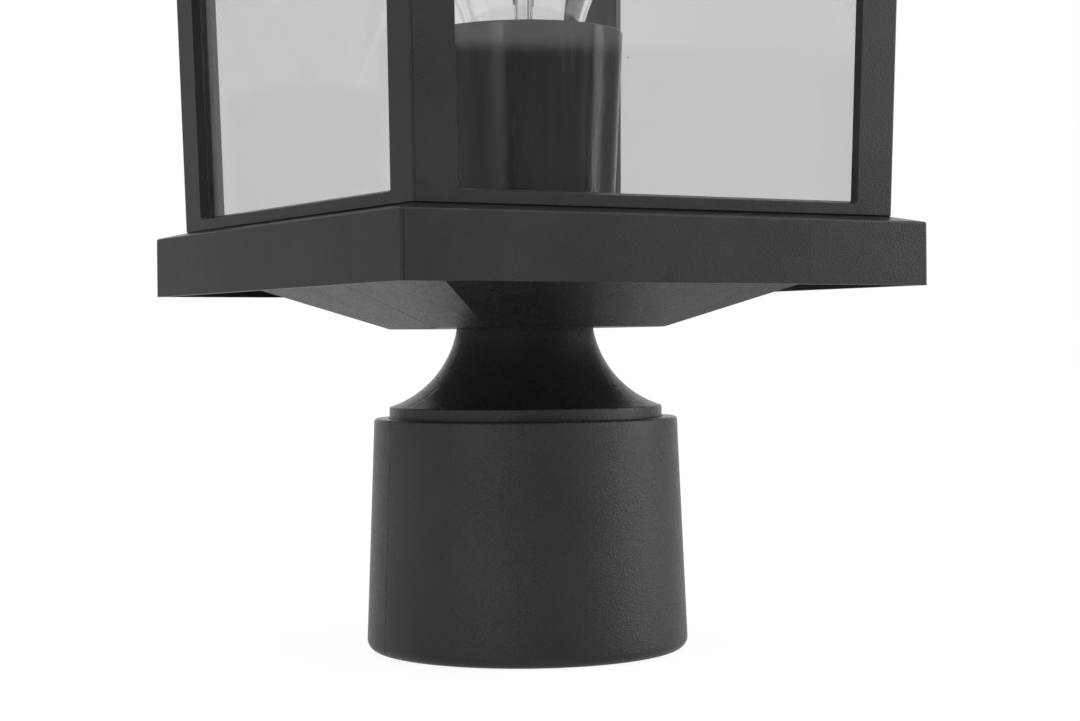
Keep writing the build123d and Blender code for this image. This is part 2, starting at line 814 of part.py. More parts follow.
filament_end = lead_spread - lead_radius - 2 * filament_radius
with BuildPart() as bulb_filament:
    with BuildLine() as filament_path:
        ThreePointArc(
            (-filament_end, 0, lead_top_z),
            (0, 0, lead_top_z + filament_sag),
            (filament_end, 0, lead_top_z),
        )
    with BuildSketch(Plane(filament_path.line @ 0, z_dir=filament_path.line % 0)) as filament_section:
        Circle(filament_radius)
    sweep(path=filament_path.line)
bulb_filament.part.label = "bulb_filament"

# ---- Crossbar, stud and nuts -------------------------------------------------------------

crossbar_length = 2 * (cage_top_half - cage_leg_depth - crossbar_end_play)
with BuildPart() as roof_crossbar:
    with BuildSketch(Plane.XY.offset(crossbar_z)) as bar_outline:
        Rectangle(crossbar_length, crossbar_width)
        fillet(bar_outline.vertices(), crossbar_width / 7)
        Circle(stud_radius + stud_play, mode=Mode.SUBTRACT)
        with Locations((-crossbar_screw_x, 0), (crossbar_screw_x, 0)):
            Circle(medium_screw[0] + stud_play, mode=Mode.SUBTRACT)
    extrude(amount=crossbar_thickness)
roof_crossbar.part.label = "roof_crossbar"

with BuildPart() as crossbar_screws:
    add(
        slotted_screw(
            Plane.XY.offset(crossbar_z + crossbar_thickness),
            [(-crossbar_screw_x, 0), (crossbar_screw_x, 0)],
            crossbar_thickness + crossbar_screw_bite,
            medium_screw,
        )
    )
crossbar_screws.part.label = "crossbar_screws"

stud_low_z = crossbar_z - stud_below
stud_high_z = knob_z + stud_in_knob
with BuildPart() as roof_stud:
    extrude(disc(stud_low_z, stud_radius), amount=stud_high_z - stud_low_z)
    chamfer(roof_stud.edges().filter_by(GeomType.CIRCLE), stud_radius / 6)
roof_stud.part.label = "roof_stud"

with BuildPart() as stud_nuts:
    for nut_z in (crossbar_z - stud_nut_height, crossbar_z + crossbar_thickness):
        extrude(hexagon(nut_z, stud_nut_flats), amount=stud_nut_height)
        extrude(disc(nut_z, stud_radius + screw_play), amount=stud_nut_height, mode=Mode.SUBTRACT)
stud_nuts.part.label = "stud_nuts"

# ---- Roof --------------------------------------------------------------------------------

roof_ledge_half = cage_top_half - cage_leg_depth - roof_ledge_inset
roof_inner_top_half = roof_top_half - roof_wall
roof_inner_top_z = roof_top_z - roof_wall
with BuildPart() as roof:
    extrude(square(roof_skirt_z, roof_half, tray_corner_rounding), amount=roof_skirt_height)
    loft(
        [
            square(roof_edge_z, roof_half, tray_corner_rounding),
            square(roof_crown_z, cage_top_half, tray_corner_rounding),
        ],
        ruled=True,
    )
    loft([square(roof_crown_z, cage_top_half), square(roof_top_z, roof_top_half)], ruled=True)
    extrude(disc(roof_top_z, roof_boss_radius), amount=roof_boss_height)
    fillet(
        roof.edges().filter_by(GeomType.LINE).filter_by_position(Axis.Z, roof_edge_z, roof_edge_z),
        tray_edge_rounding,
    )
    extrude(
        square(roof_skirt_z, roof_half - roof_wall),
        amount=cage_top_z - roof_skirt_z,
        mode=Mode.SUBTRACT,
    )
    loft(
        [square(cage_top_z, roof_ledge_half), square(roof_inner_top_z, roof_inner_top_half)],
        ruled=True,
        mode=Mode.SUBTRACT,
    )
    with Locations((0, 0, roof_boss_z)):
        Hole(stud_radius + stud_play)
roof.part.label = "roof"

# ---- Finial ------------------------------------------------------------------------------

with BuildPart() as finial_seal_washer:
    extrude(disc(roof_boss_z, seal_radius), amount=seal_thickness)
    extrude(disc(roof_boss_z, stud_radius + stud_play), amount=seal_thickness, mode=Mode.SUBTRACT)
finial_seal_washer.part.label = "finial_seal_washer"

knob_ball_z = knob_z + knob_foot_height + knob_waist_height + sqrt(knob_ball_radius**2 - knob_waist_radius**2)
with BuildPart() as finial_knob:
    with BuildSketch(Plane.XZ) as knob_section:
        with BuildLine():
            base = Line((0, knob_z), (knob_foot_radius, knob_z))
            rim = Line(base @ 1, (knob_foot_radius, knob_z + knob_foot_height))
            waist = RadiusArc(
                rim @ 1,
                (knob_waist_radius, knob_z + knob_foot_height + knob_waist_height),
                knob_waist_height * 1.1,
            )
            ball = ThreePointArc(
                waist @ 1,
                (knob_ball_radius, knob_ball_z),
                (0, knob_ball_z + knob_ball_radius),
            )
            Line(ball @ 1, base @ 0)
        make_face()
    revolve(axis=Axis.Z)
    extrude(disc(knob_z, stud_radius + stud_play), amount=knob_bore_depth, mode=Mode.SUBTRACT)
finial_knob.part.label = "finial_knob"

# ---- Files -------------------------------------------------------------------------------

for piece in (
    post_fitter,
    base_pan,
    base_tray,
    cage_frame,
    pane_clips,
    pane_clip_screws,
    cage_screws,
    centre_nipple,
    neck_washer,
    neck_locknut,
    sleeve_locknut,
    wire_bushing,
    socket_sleeve,
    socket_strap,
    socket_screws,
    socket_body,
    socket_screw_shell,
    socket_contact,
    bulb_contact,
    bulb_insulator,
    bulb_screw_shell,
    bulb_glass,
    bulb_stem,
    bulb_lead_wires,
    bulb_filament,
    roof_crossbar,
    crossbar_screws,
    roof_stud,
    stud_nuts,
    roof,
    finial_seal_washer,
    finial_knob,
):
    export_step(piece.part, f"parts/{piece.part.label}.step")
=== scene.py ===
"""Looks of the post top lantern: its castings, glass, lamp and fittings, in metres, +Z up."""

import logging
import math
from dataclasses import dataclass
from enum import Enum
from typing import Callable, Dict, List, Optional, Sequence, Tuple, Union

import bpy
from mathutils import Matrix, Vector


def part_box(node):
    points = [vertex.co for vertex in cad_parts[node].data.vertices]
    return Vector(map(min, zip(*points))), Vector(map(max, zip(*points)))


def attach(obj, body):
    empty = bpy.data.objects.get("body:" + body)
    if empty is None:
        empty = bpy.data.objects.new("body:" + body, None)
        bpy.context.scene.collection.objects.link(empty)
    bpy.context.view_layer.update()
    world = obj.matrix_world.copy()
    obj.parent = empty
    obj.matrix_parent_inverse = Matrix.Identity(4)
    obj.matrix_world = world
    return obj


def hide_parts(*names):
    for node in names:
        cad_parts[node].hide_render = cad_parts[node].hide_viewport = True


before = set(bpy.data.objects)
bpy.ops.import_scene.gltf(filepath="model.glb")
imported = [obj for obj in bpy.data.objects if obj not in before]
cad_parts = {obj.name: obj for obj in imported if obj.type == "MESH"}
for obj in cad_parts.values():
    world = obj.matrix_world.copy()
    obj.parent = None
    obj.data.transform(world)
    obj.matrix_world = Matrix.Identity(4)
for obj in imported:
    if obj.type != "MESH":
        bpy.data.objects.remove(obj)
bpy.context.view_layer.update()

LOG = logging.getLogger("lantern")
MM = 0.001
Point = Tuple[float, float]
Colour = Tuple[float, float, float]


# ---- Shader building -----------------------------------------------------------------


class Shade:
    """A number in a node tree, which Python's operators turn into Math nodes."""

    def __init__(self, recipe: "Recipe", socket: bpy.types.NodeSocket) -> None:
        """Wrap a socket.

        Args:
            recipe: the material that the socket belongs to.
            socket: an output socket that carries a number.
        """
        self.recipe = recipe
        self.socket = socket

    def _math(self, operation: str, first: "Number", second: "Number") -> "Shade":
        """Add one Math node and return its result."""
        made = self.recipe.node("ShaderNodeMath", {"operation": operation}, {0: first, 1: second})
        return Shade(self.recipe, made.outputs[0])

    def __add__(self, other: "Number") -> "Shade":
        """Sum."""
        return self._math("ADD", self, other)

    def __radd__(self, other: "Number") -> "Shade":
        """Sum, from the right."""
        return self._math("ADD", other, self)

    def __sub__(self, other: "Number") -> "Shade":
        """Difference."""
        return self._math("SUBTRACT", self, other)

    def __rsub__(self, other: "Number") -> "Shade":
        """Difference, from the right."""
        return self._math("SUBTRACT", other, self)

    def __mul__(self, other: "Number") -> "Shade":
        """Product."""
        return self._math("MULTIPLY", self, other)

    def __rmul__(self, other: "Number") -> "Shade":
        """Product, from the right."""
        return self._math("MULTIPLY", other, self)

    def above(self, limit: float, blur: float) -> "Shade":
        """Rise from 0 to 1 as the number passes a limit.

        Args:
            limit: where the rise starts.
            blur: how far the rise takes.

        Returns:
            A mask from 0 to 1.
        """
        made = self.recipe.node(
            "ShaderNodeMapRange",
            {"interpolation_type": "SMOOTHSTEP"},
            {"Value": self, "From Min": limit, "From Max": limit + blur},
        )
        return Shade(self.recipe, made.outputs["Result"])


Number = Union[float, Shade]


class Recipe:
    """One material's node tree, built with a single method for every node."""

    def __init__(self, name: str, world: bool = False) -> None:
        """Start an empty material or world.

        Args:
            name: its name.
            world: whether a world is made.
        """
        self.owner = bpy.data.worlds.new(name) if world else bpy.data.materials.new(name)
        self.owner.use_nodes = True
        self.tree = self.owner.node_tree
        self.tree.nodes.clear()
        self.place = self.node("ShaderNodeTexCoord", {}, {}).outputs["Generated" if world else "Object"]

    def node(
        self, kind: str, settings: Dict[str, object], inputs: Dict[object, object]
    ) -> bpy.types.Node:
        """Add one node.

        Args:
            kind: the node's type name.
            settings: its own properties, set first; "stops" fills a colour ramp.
            inputs: socket name or number, and the value, colour or link that goes in.

        Returns:
            The new node.
        """
        made = self.tree.nodes.new(kind)
        for key, value in settings.items():
            if key == "stops":
                ramp = made.color_ramp
                while len(ramp.elements) > 1:
                    ramp.elements.remove(ramp.elements[-1])
                for number, (position, colour) in enumerate(value):
                    stop = ramp.elements[0] if number == 0 else ramp.elements.new(position)
                    stop.position = position
                    stop.color = (*colour, 1.0)
            else:
                setattr(made, key, value)
        for key, value in inputs.items():
            socket = made.inputs[key]
            if isinstance(value, Shade):
                self.tree.links.new(value.socket, socket)
            elif isinstance(value, bpy.types.NodeSocket):
                self.tree.links.new(value, socket)
            elif isinstance(value, tuple) and len(value) == 3 and socket.type == "RGBA":
                socket.default_value = (*value, 1.0)
            else:
                socket.default_value = value
        return made

    def noise(self, size: float, detail: float = 2.0, stretch: Colour = (1.0, 1.0, 1.0)) -> Shade:
        """Cloudy noise over the piece.

        Args:
            size: the width of its clouds in millimetres.
            detail: how many finer layers it has.
            stretch: how much longer its clouds are along X, Y and Z.

        Returns:
            A number near 0.5.
        """
        per_metre = tuple(1.0 / (size * MM * share) for share in stretch)
        place = self.node("ShaderNodeMapping", {}, {"Vector": self.place, "Scale": per_metre})
        made = self.node(
            "ShaderNodeTexNoise",
            {},
            {"Vector": place.outputs[0], "Scale": 1.0, "Detail": detail, "Roughness": 0.55},
        )
        return Shade(self, made.outputs["Fac"])

    def specks(self, spacing: float, radius: float, share: float) -> Shade:
        """Small scattered specks.

        Args:
            spacing: the mean distance between cells in millimetres.
            radius: the specks' radius in millimetres.
            share: how many of the cells hold a speck, from 0 to 1.

        Returns:
            A mask, 1 on the specks.
        """
        made = self.node(
            "ShaderNodeTexVoronoi", {}, {"Vector": self.place, "Scale": 1.0 / (spacing * MM)}
        )
        near = 1 - Shade(self, made.outputs["Distance"]).above(0.5 * radius / spacing, radius / spacing)
        parts = self.node("ShaderNodeSeparateColor", {}, {"Color": made.outputs["Color"]})
        return near * Shade(self, parts.outputs[0]).above(1 - share, 0.001)

    def blend(self, mask: Number, low: object, high: object) -> bpy.types.NodeSocket:
        """Mix two colours.

        Args:
            mask: 0 gives the low colour, 1 the high one.
            low: a colour or a colour socket.
            high: a colour or a colour socket.

        Returns:
            The mixed colour's socket.
        """
        made = self.node("ShaderNodeMix", {"data_type": "RGBA"}, {0: mask, 6: low, 7: high})
        return made.outputs[2]

    def relief(
        self, height: Number, depth: float, below: Optional[bpy.types.NodeSocket] = None
    ) -> bpy.types.NodeSocket:
        """Turn a height into surface relief.

        Args:
            height: the height, from 0 to 1.
            depth: how deep a height of 1 is, in millimetres.
            below: the relief that this one lies on.

        Returns:
            The normal's socket.
        """
        inputs: Dict[object, object] = {"Height": height, "Distance": depth * MM, "Strength": 1.0}
        if below is not None:
            inputs["Normal"] = below
        return self.node("ShaderNodeBump", {}, inputs).outputs[0]

    def surface(self, inputs: Dict[object, object]) -> bpy.types.Material:
        """Finish the material with the general surface shader.

        Args:
            inputs: what goes into the shader's sockets.

        Returns:
            The finished material.
        """
        shader = self.node("ShaderNodeBsdfPrincipled", {}, inputs)
        self.node("ShaderNodeOutputMaterial", {}, {"Surface": shader.outputs[0]})
        return self.owner


# ---- Finishes ------------------------------------------------------------------------


@dataclass(frozen=True)
class CastingFinish:
    """Black powder coat over a casting, with an orange-peel skin and a little dust."""

    name: str
    slot: str = "black_casting"
    colour: Colour = (0.0185, 0.0185, 0.0185)
    roughness: float = 0.27
    peel_size: float = 0.42
    peel_depth: float = 0.19
    sand_size: float = 0.30
    sand_depth: float = 0.02

    def build(self) -> bpy.types.Material:
        """Make the material."""
        recipe = Recipe(self.name)
        clouds = recipe.noise(34.0, 3.0)
        patches = recipe.noise(6.0, 4.0)
        dark = tuple(0.80 * part for part in self.colour)
        pale = tuple(1.22 * part for part in self.colour)
        base = recipe.blend(clouds.above(0.32, 0.36), dark, pale)
        dust = recipe.specks(9.0, 0.16, 0.35) * 0.5
        base = recipe.blend(dust, base, (0.16, 0.155, 0.145))
        peel = recipe.relief(recipe.noise(self.peel_size, 2.5), self.peel_depth)
        skin = recipe.relief(recipe.noise(self.sand_size, 1.0), self.sand_depth, peel)
        return recipe.surface(
            {
                "Base Color": base,
                "Roughness": self.roughness + (patches - 0.5) * 0.16 + (clouds - 0.5) * 0.08,
                "Specular IOR Level": 0.5,
                "Normal": skin,
            }
        )


@dataclass(frozen=True)
class SleeveFinish:
    """Smooth black enamel on spun metal, with faint turning lines, streaks and specks."""

    name: str
    slot: str = "black_sleeve"
    colour: Colour = (0.022, 0.0223, 0.023)
    roughness: float = 0.24

    def build(self) -> bpy.types.Material:
        """Make the material."""
        recipe = Recipe(self.name)
        streaks = recipe.noise(2.4, 2.0, (1.0, 1.0, 30.0))
        turning = recipe.noise(0.5, 1.0, (60.0, 60.0, 1.0))
        base = recipe.blend(
            streaks.above(0.35, 0.35),
            tuple(0.78 * part for part in self.colour),
            tuple(1.25 * part for part in self.colour),
        )
        base = recipe.blend(recipe.specks(3.4, 0.14, 0.45) * 0.55, base, (0.14, 0.135, 0.125))
        relief = recipe.relief(turning, 0.0035)
        return recipe.surface(
            {
                "Base Color": base,
                "Roughness": self.roughness + (streaks - 0.5) * 0.18,
                "Normal": recipe.relief(recipe.noise(7.0, 2.0), 0.01, relief),
            }
        )


@dataclass(frozen=True)
class GlassFinish:
    """Clear glass with a faint tint and a few specks of dust."""

    name: str
    slot: str
    tint: Colour = (0.93, 0.94, 0.935)
    roughness: float = 0.0
    dust_share: float = 0.3
    dust_spacing: float = 11.0

    def build(self) -> bpy.types.Material:
        """Make the material."""
        recipe = Recipe(self.name)
        smudge = recipe.noise(26.0, 3.0).above(0.5, 0.3)
        tint = recipe.blend(smudge, self.tint, tuple(0.985 * part for part in self.tint))
        clear = recipe.node(
            "ShaderNodeBsdfPrincipled",
            {},
            {
                "Base Color": tint,
                "Roughness": self.roughness,
                "IOR": 1.5,
                "Transmission Weight": 1.0,
            },
        )
        speck = recipe.node(
            "ShaderNodeBsdfPrincipled", {}, {"Base Color": (0.05, 0.05, 0.05), "Roughness": 0.8}
        )
        mask = recipe.specks(self.dust_spacing, 0.26, self.dust_share) * 0.75
        both = recipe.node(
            "ShaderNodeMixShader", {}, {0: mask, 1: clear.outputs[0], 2: speck.outputs[0]}
        )
        recipe.node("ShaderNodeOutputMaterial", {}, {"Surface": both.outputs[0]})
        return recipe.owner


@dataclass(frozen=True)
class MetalFinish:
    """Bare or plated metal with drawn lines and dull patches."""

    name: str
    slot: str
    colour: Colour = (0.58, 0.58, 0.56)
    stain: Colour = (0.46, 0.45, 0.40)
    roughness: float = 0.32
    grain: Colour = (1.0, 1.0, 8.0)

    def build(self) -> bpy.types.Material:
        """Make the material."""
        recipe = Recipe(self.name)
        patches = recipe.noise(5.0, 3.0)
        lines = recipe.noise(0.22, 1.0, self.grain)
        base = recipe.blend(patches.above(0.42, 0.3), self.colour, self.stain)
        return recipe.surface(
            {
                "Base Color": base,
                "Metallic": 1.0,
                "Roughness": self.roughness + (patches - 0.5) * 0.3,
                "Normal": recipe.relief(lines, 0.004),
            }
        )


@dataclass(frozen=True)
class MouldedFinish:
    """Moulded or fired material: porcelain, plastic or rubber."""

    name: str
    slot: str
    colour: Colour
    roughness: float
    coat: float = 0.0
    grain_size: float = 0.5
    grain_depth: float = 0.01

    def build(self) -> bpy.types.Material:
        """Make the material."""
        recipe = Recipe(self.name)
        clouds = recipe.noise(9.0, 3.0)
        base = recipe.blend(
            clouds.above(0.35, 0.3),
            tuple(0.93 * part for part in self.colour),
            tuple(min(1.0, 1.04 * part) for part in self.colour),
        )
        return recipe.surface(
            {
                "Base Color": base,
                "Roughness": self.roughness + (clouds - 0.5) * 0.12,
                "Coat Weight": self.coat,
                "Coat Roughness": 0.08,
                "Normal": recipe.relief(recipe.noise(self.grain_size, 2.0), self.grain_depth),
            }
        )


class Finish(Enum):
    """The lantern's finishes, by the record's material slot."""

    CASTING = CastingFinish("powder_coat")
    FRAME = CastingFinish(
        "powder_coat_fine",
        colour=(0.0128, 0.0128, 0.0130),
        roughness=0.33,
        peel_size=0.5,
        peel_depth=0.07,
        sand_depth=0.015,
    )
    SLEEVE = SleeveFinish("enamel")
    PANE = GlassFinish("pane_glass", "pane_glass", (0.803, 0.808, 0.805))
    LAMP_GLASS = GlassFinish("lamp_glass", "lamp_glass", (0.985, 0.985, 0.975), 0.0, 0.0)
    ZINC = MetalFinish("zinc_plate", "zinc_plate")
    SCREW = MetalFinish(
        "zinc_screw", "zinc_screw", (0.55, 0.55, 0.54), (0.40, 0.40, 0.37), 0.36, (1.0, 1.0, 1.0)
    )
    BRASS = MetalFinish("brass", "contact_brass", (0.72, 0.52, 0.24), (0.55, 0.36, 0.16), 0.3)
    LAMP_BASE = MetalFinish(
        "rolled_base", "lamp_base_metal", (0.76, 0.76, 0.75), (0.62, 0.62, 0.60), 0.25
    )
    SOLDER = MetalFinish(
        "solder", "lamp_solder", (0.62, 0.62, 0.64), (0.42, 0.42, 0.44), 0.4, (1.0, 1.0, 1.0)
    )
    WIRE = MetalFinish("drawn_wire", "lamp_wire", (0.42, 0.39, 0.34), (0.30, 0.26, 0.21), 0.35)
    TUNGSTEN = MetalFinish("tungsten", "lamp_tungsten", (0.24, 0.24, 0.25), (0.16, 0.16, 0.18), 0.45)
    INSULATOR = MouldedFinish("insulator", "lamp_insulator_glass", (0.02, 0.02, 0.03), 0.15, 0.6)
    BUSHING = MouldedFinish("bushing", "bushing_plastic", (0.025, 0.025, 0.026), 0.5, 0.0, 0.3, 0.01)
    PORCELAIN = MouldedFinish("porcelain", "socket_ceramic", (0.82, 0.81, 0.77), 0.22, 0.7, 2.5, 0.02)
    RUBBER = MouldedFinish("rubber", "seal_rubber", (0.022, 0.022, 0.022), 0.75, 0.0, 0.25, 0.02)


class Paintbox:
    """Builds each finish once and hands it to pieces and CAD nodes."""

    def __init__(self) -> None:
        """Build every finish."""
        self.materials = {finish: finish.value.build() for finish in Finish}

    def dress(self, piece: bpy.types.Object, finish: Finish) -> None:
        """Give an object one finish all over.

        Args:
            piece: the object.
            finish: which finish it gets.
        """
        material = self.materials[finish]
        if not piece.material_slots:
            piece.data.materials.append(material)
        for slot in piece.material_slots:
            slot.material = material


# ---- Modelling -----------------------------------------------------------------------


def arc(start: Point, end: Point, radius: float, steps: int) -> List[Point]:
    """Points along a circular arc, in millimetres.

    Args:
        start: its first point, as distance from the axis and height.
        end: its last point.
        radius: its radius; a positive one bulges to the left of the way from start to end.
        steps: how many straight steps it takes.

    Returns:
        The points after the first, up to the end.
    """
    (x0, z0), (x1, z1) = start, end
    half = math.hypot(x1 - x0, z1 - z0) / 2
    away = math.sqrt(max(radius * radius - half * half, 0.0))
    side = 1.0 if radius > 0 else -1.0
    along = ((x1 - x0) / (2 * half), (z1 - z0) / (2 * half))
    centre = ((x0 + x1) / 2 + side * away * along[1], (z0 + z1) / 2 - side * away * along[0])
    first = math.atan2(z0 - centre[1], x0 - centre[0])
    turn = math.atan2(z1 - centre[1], x1 - centre[0]) - first
    turn = (turn + math.pi) % (2 * math.pi) - math.pi
    size = abs(radius)
    return [
        (
            centre[0] + size * math.cos(first + turn * step / steps),
            centre[1] + size * math.sin(first + turn * step / steps),
        )
        for step in range(1, steps + 1)
    ]


def line(start: Point, end: Point, steps: int) -> List[Point]:
    """Points along a straight line in equal steps, after the first and up to the end."""
    return [
        tuple(first + (last - first) * step / steps for first, last in zip(start, end))
        for step in range(1, steps + 1)
    ]


def sweep(start: Point, leave: Point, end: Point, arrive: Point, steps: int) -> List[Point]:
    """Points along a smooth curve with given directions at its ends, in millimetres.

    Args:
        start: its first point.
        leave: its direction and pull at the start.
        end: its last point.
        arrive: its direction and pull at the end.
        steps: how many straight steps it takes.

    Returns:
        The points after the first, up to the end.
    """
    points = []
    for step in range(1, steps + 1):
        t = step / steps
        a, b = 2 * t**3 - 3 * t**2 + 1, t**3 - 2 * t**2 + t
        c, d = -2 * t**3 + 3 * t**2, t**3 - t**2
        points.append(tuple(a * start[k] + b * leave[k] + c * end[k] + d * arrive[k] for k in (0, 1)))
    return points


def heights(node: str) -> Point:
    """A CAD node's lowest and highest point, in millimetres."""
    low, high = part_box(node)
    return low[2] / MM, high[2] / MM


class Work:
    """One mesh on the bench: started from a primitive, shaped in edit mode, then finished."""

    def __init__(self, name: str) -> None:
        """Take the primitive that was just added as the work.

        Args:
            name: the finished piece's name.
        """
        self.piece = bpy.context.active_object
        self.piece.name = name
        self.piece.data.name = name

    @classmethod
    def turned(cls, name: str, profile: Sequence[Point], sides: int = 128, loop: bool = True) -> "Work":
        """Turn a profile about the vertical axis.

        Args:
            name: the piece's name.
            profile: points of distance from the axis and height, in millimetres.
            sides: how many sides the turned piece has.
            loop: whether the last point joins the first.

        Returns:
            The turned work.
        """
        bpy.ops.object.select_all(action="DESELECT")
        radius, height = profile[0]
        bpy.ops.mesh.primitive_circle_add(
            vertices=sides, radius=radius * MM, location=(0, 0, height * MM), fill_type="NOTHING"
        )
        work = cls(name)
        work.edit("EDGE")
        points = list(profile[1:]) + ([profile[0]] if loop else [])
        for new_radius, new_height in points:
            bpy.ops.mesh.extrude_region_move(
                TRANSFORM_OT_translate={"value": (0, 0, (new_height - height) * MM)}
            )
            if new_radius != radius:
                share = new_radius / radius
                bpy.ops.transform.resize(
                    value=(share, share, 1), center_override=(0, 0, new_height * MM)
                )
            radius, height = new_radius, new_height
        bpy.ops.mesh.select_all(action="SELECT")
        bpy.ops.mesh.remove_doubles(threshold=1e-6)
        bpy.ops.mesh.normals_make_consistent(inside=False)
        work.done()
        return work

    @classmethod
    def solid(cls, name: str, profile: Sequence[Point], sides: int) -> "Work":
        """Turn a profile about the vertical axis and close its two ends.

        Args:
            name: the piece's name.
            profile: points of distance from the axis and height, in millimetres.
            sides: how many sides the turned piece has.

        Returns:
            The closed work.
        """
        work = cls.turned(name, profile, sides, loop=False)
        work.close()
        return work

    @classmethod
    def wound(
        cls, name: str, profile: Sequence[Point], pitch: float, turns: int, steps: int
    ) -> "Work":
        """Wind a profile up the vertical axis, as a thread or coil.

        Args:
            name: the piece's name.
            profile: points of distance from the axis and height, in millimetres.
            pitch: how far one turn climbs, in millimetres.
            turns: how many turns it makes.
            steps: how many steps one turn takes.

        Returns:
            The wound work, open at its ends.
        """
        bpy.ops.object.select_all(action="DESELECT")
        bpy.ops.mesh.primitive_plane_add(size=MM)
        work = cls(name)
        work.edit("VERT")
        bpy.ops.mesh.merge(type="CENTER")
        radius, height = profile[0]
        bpy.ops.transform.translate(value=(radius * MM, 0, height * MM))
        for new_radius, new_height in profile[1:]:
            step = ((new_radius - radius) * MM, 0, (new_height - height) * MM)
            bpy.ops.mesh.extrude_region_move(TRANSFORM_OT_translate={"value": step})
            radius, height = new_radius, new_height
        work.done()
        work.modify(
            "SCREW",
            angle=2 * math.pi,
            screw_offset=pitch * MM,
            iterations=turns,
            steps=steps,
            render_steps=steps,
        )
        work.edit("VERT")
        bpy.ops.mesh.remove_doubles(threshold=2e-6)
        bpy.ops.mesh.normals_make_consistent(inside=False)
        work.done()
        return work

    @classmethod
    def rod(
        cls, name: str, radius: float, low: float, high: float, pitch: float, bevel: float
    ) -> "Work":
        """Cut a threaded rod.

        Args:
            name: the piece's name.
            radius: its outer radius in millimetres.
            low: the height of its lower end.
            high: the height of its upper end.
            pitch: how far one turn of the thread climbs.
            bevel: the bevel of its ends.

        Returns:
            The closed rod.
        """
        root = radius - 0.6 * pitch
        profile = [(root, 0.0), (root, 0.12), (radius, 0.44), (radius, 0.56), (root, 0.88), (root, 1.0)]
        turns = math.ceil((high - low) / pitch) + 3
        start = low - 1.487 * pitch
        work = cls.wound(name, [(out, start + part * pitch) for out, part in profile], pitch, turns, 32)
        work.trim(low, high)
        blank = [(0.5, low), (radius - bevel, low), (radius + 0.01, low + bevel)]
        blank += [(radius + 0.01, high - bevel), (radius - bevel, high), (0.5, high)]
        work.combine(cls.solid("blank", blank, 64), "INTERSECT")
        return work

    @classmethod
    def nut(cls, name: str, flats: float, bore: float, low: float, height: float) -> "Work":
        """Cut a hexagon nut with chamfered corners.

        Args:
            name: the piece's name.
            flats: its width across flats in millimetres.
            bore: its bore's radius.
            low: the height of its underside.
            height: its height.

        Returns:
            The closed nut.
        """
        corner = flats / math.sqrt(3)
        fall = (corner - flats / 2 + 0.1) * math.tan(math.radians(30))
        high = low + height
        bevel = 0.35
        blank = [(bore, low + bevel), (bore + bevel, low), (flats / 2 - 0.1, low), (corner, low + fall)]
        blank += [(corner, high - fall), (flats / 2 - 0.1, high), (bore + bevel, high)]
        blank += [(bore, high - bevel)]
        lens = cls.turned("lens", [(out * 1.0001, z) for out, z in blank], 96)
        bpy.ops.object.select_all(action="DESELECT")
        bpy.ops.mesh.primitive_cylinder_add(
            vertices=6,
            radius=corner * MM,
            depth=(height + 1) * MM,
            location=(0, 0, (low + height / 2) * MM),
        )
        work = cls(name)
        work.edit("VERT")
        bpy.ops.transform.rotate(
            value=math.radians(30), orient_axis="Z", center_override=(0, 0, low * MM)
        )
        work.done()
        work.combine(lens, "INTERSECT")
        return work

    @classmethod
    def screw(
        cls, name: str, shank: float, head: float, height: float, length: float, slot: float = 0.9
    ) -> "Work":
        """Turn a domed screw and cut its slot; the head stands on the floor plane.

        Args:
            name: the piece's name.
            shank: the shank's radius in millimetres.
            head: the head's radius.
            height: the head's height.
            length: how far the shank goes down.
            slot: the slot's width.

        Returns:
            The closed screw.
        """
        rim = 0.3 * height
        points: List[Point] = [(0.5 * shank, -length), (shank, 0.5 * shank - length), (shank, 0.0)]
        points += [(head - 0.12, 0.0), (head, 0.12), (head, rim)]
        points += sweep((head, rim), (0.0, 0.9 * height), (0.0, height), (-1.6 * head, 0.0), 9)
        work = cls.solid(name, points, 48)
        bpy.ops.object.select_all(action="DESELECT")
        bpy.ops.mesh.primitive_cube_add(size=MM, location=(0, 0, height * MM))
        blade = cls("blade")
        blade.edit("VERT")
        bpy.ops.transform.resize(value=(3 * head, slot, height), center_override=(0, 0, height * MM))
        blade.done()
        work.combine(blade, "DIFFERENCE")
        return work

    @classmethod
    def copied(cls, name: str, node: str) -> "Work":
        """Start from a merged copy of a CAD node.

        Args:
            name: the piece's name.
            node: the CAD node's name.

        Returns:
            The copy as work.
        """
        bpy.ops.object.select_all(action="DESELECT")
        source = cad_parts[node]
        copy = bpy.data.objects.new(name, source.data.copy())
        bpy.context.scene.collection.objects.link(copy)
        copy.select_set(True)
        bpy.context.view_layer.objects.active = copy
        work = cls(name)
        work.edit("VERT")
        bpy.ops.mesh.remove_doubles(threshold=1e-6)
        bpy.ops.mesh.dissolve_limited(angle_limit=math.radians(0.6))
        work.done()
        return work

    def hold(self) -> None:
        """Make the piece the only selected one, and the active one."""
        bpy.ops.object.select_all(action="DESELECT")
        self.piece.select_set(True)
        bpy.context.view_layer.objects.active = self.piece

    def edit(self, kind: str, action: str = "SELECT") -> None:
        """Open the mesh for editing.

        Args:
            kind: VERT, EDGE or FACE.
            action: SELECT to start with all of it selected, or DESELECT with none.
        """
        self.hold()
        bpy.ops.object.mode_set(mode="EDIT")
        bpy.ops.mesh.select_mode(type=kind)
        bpy.ops.mesh.select_all(action=action)

    def done(self) -> None:
        """Close the mesh."""
        bpy.ops.object.mode_set(mode="OBJECT")

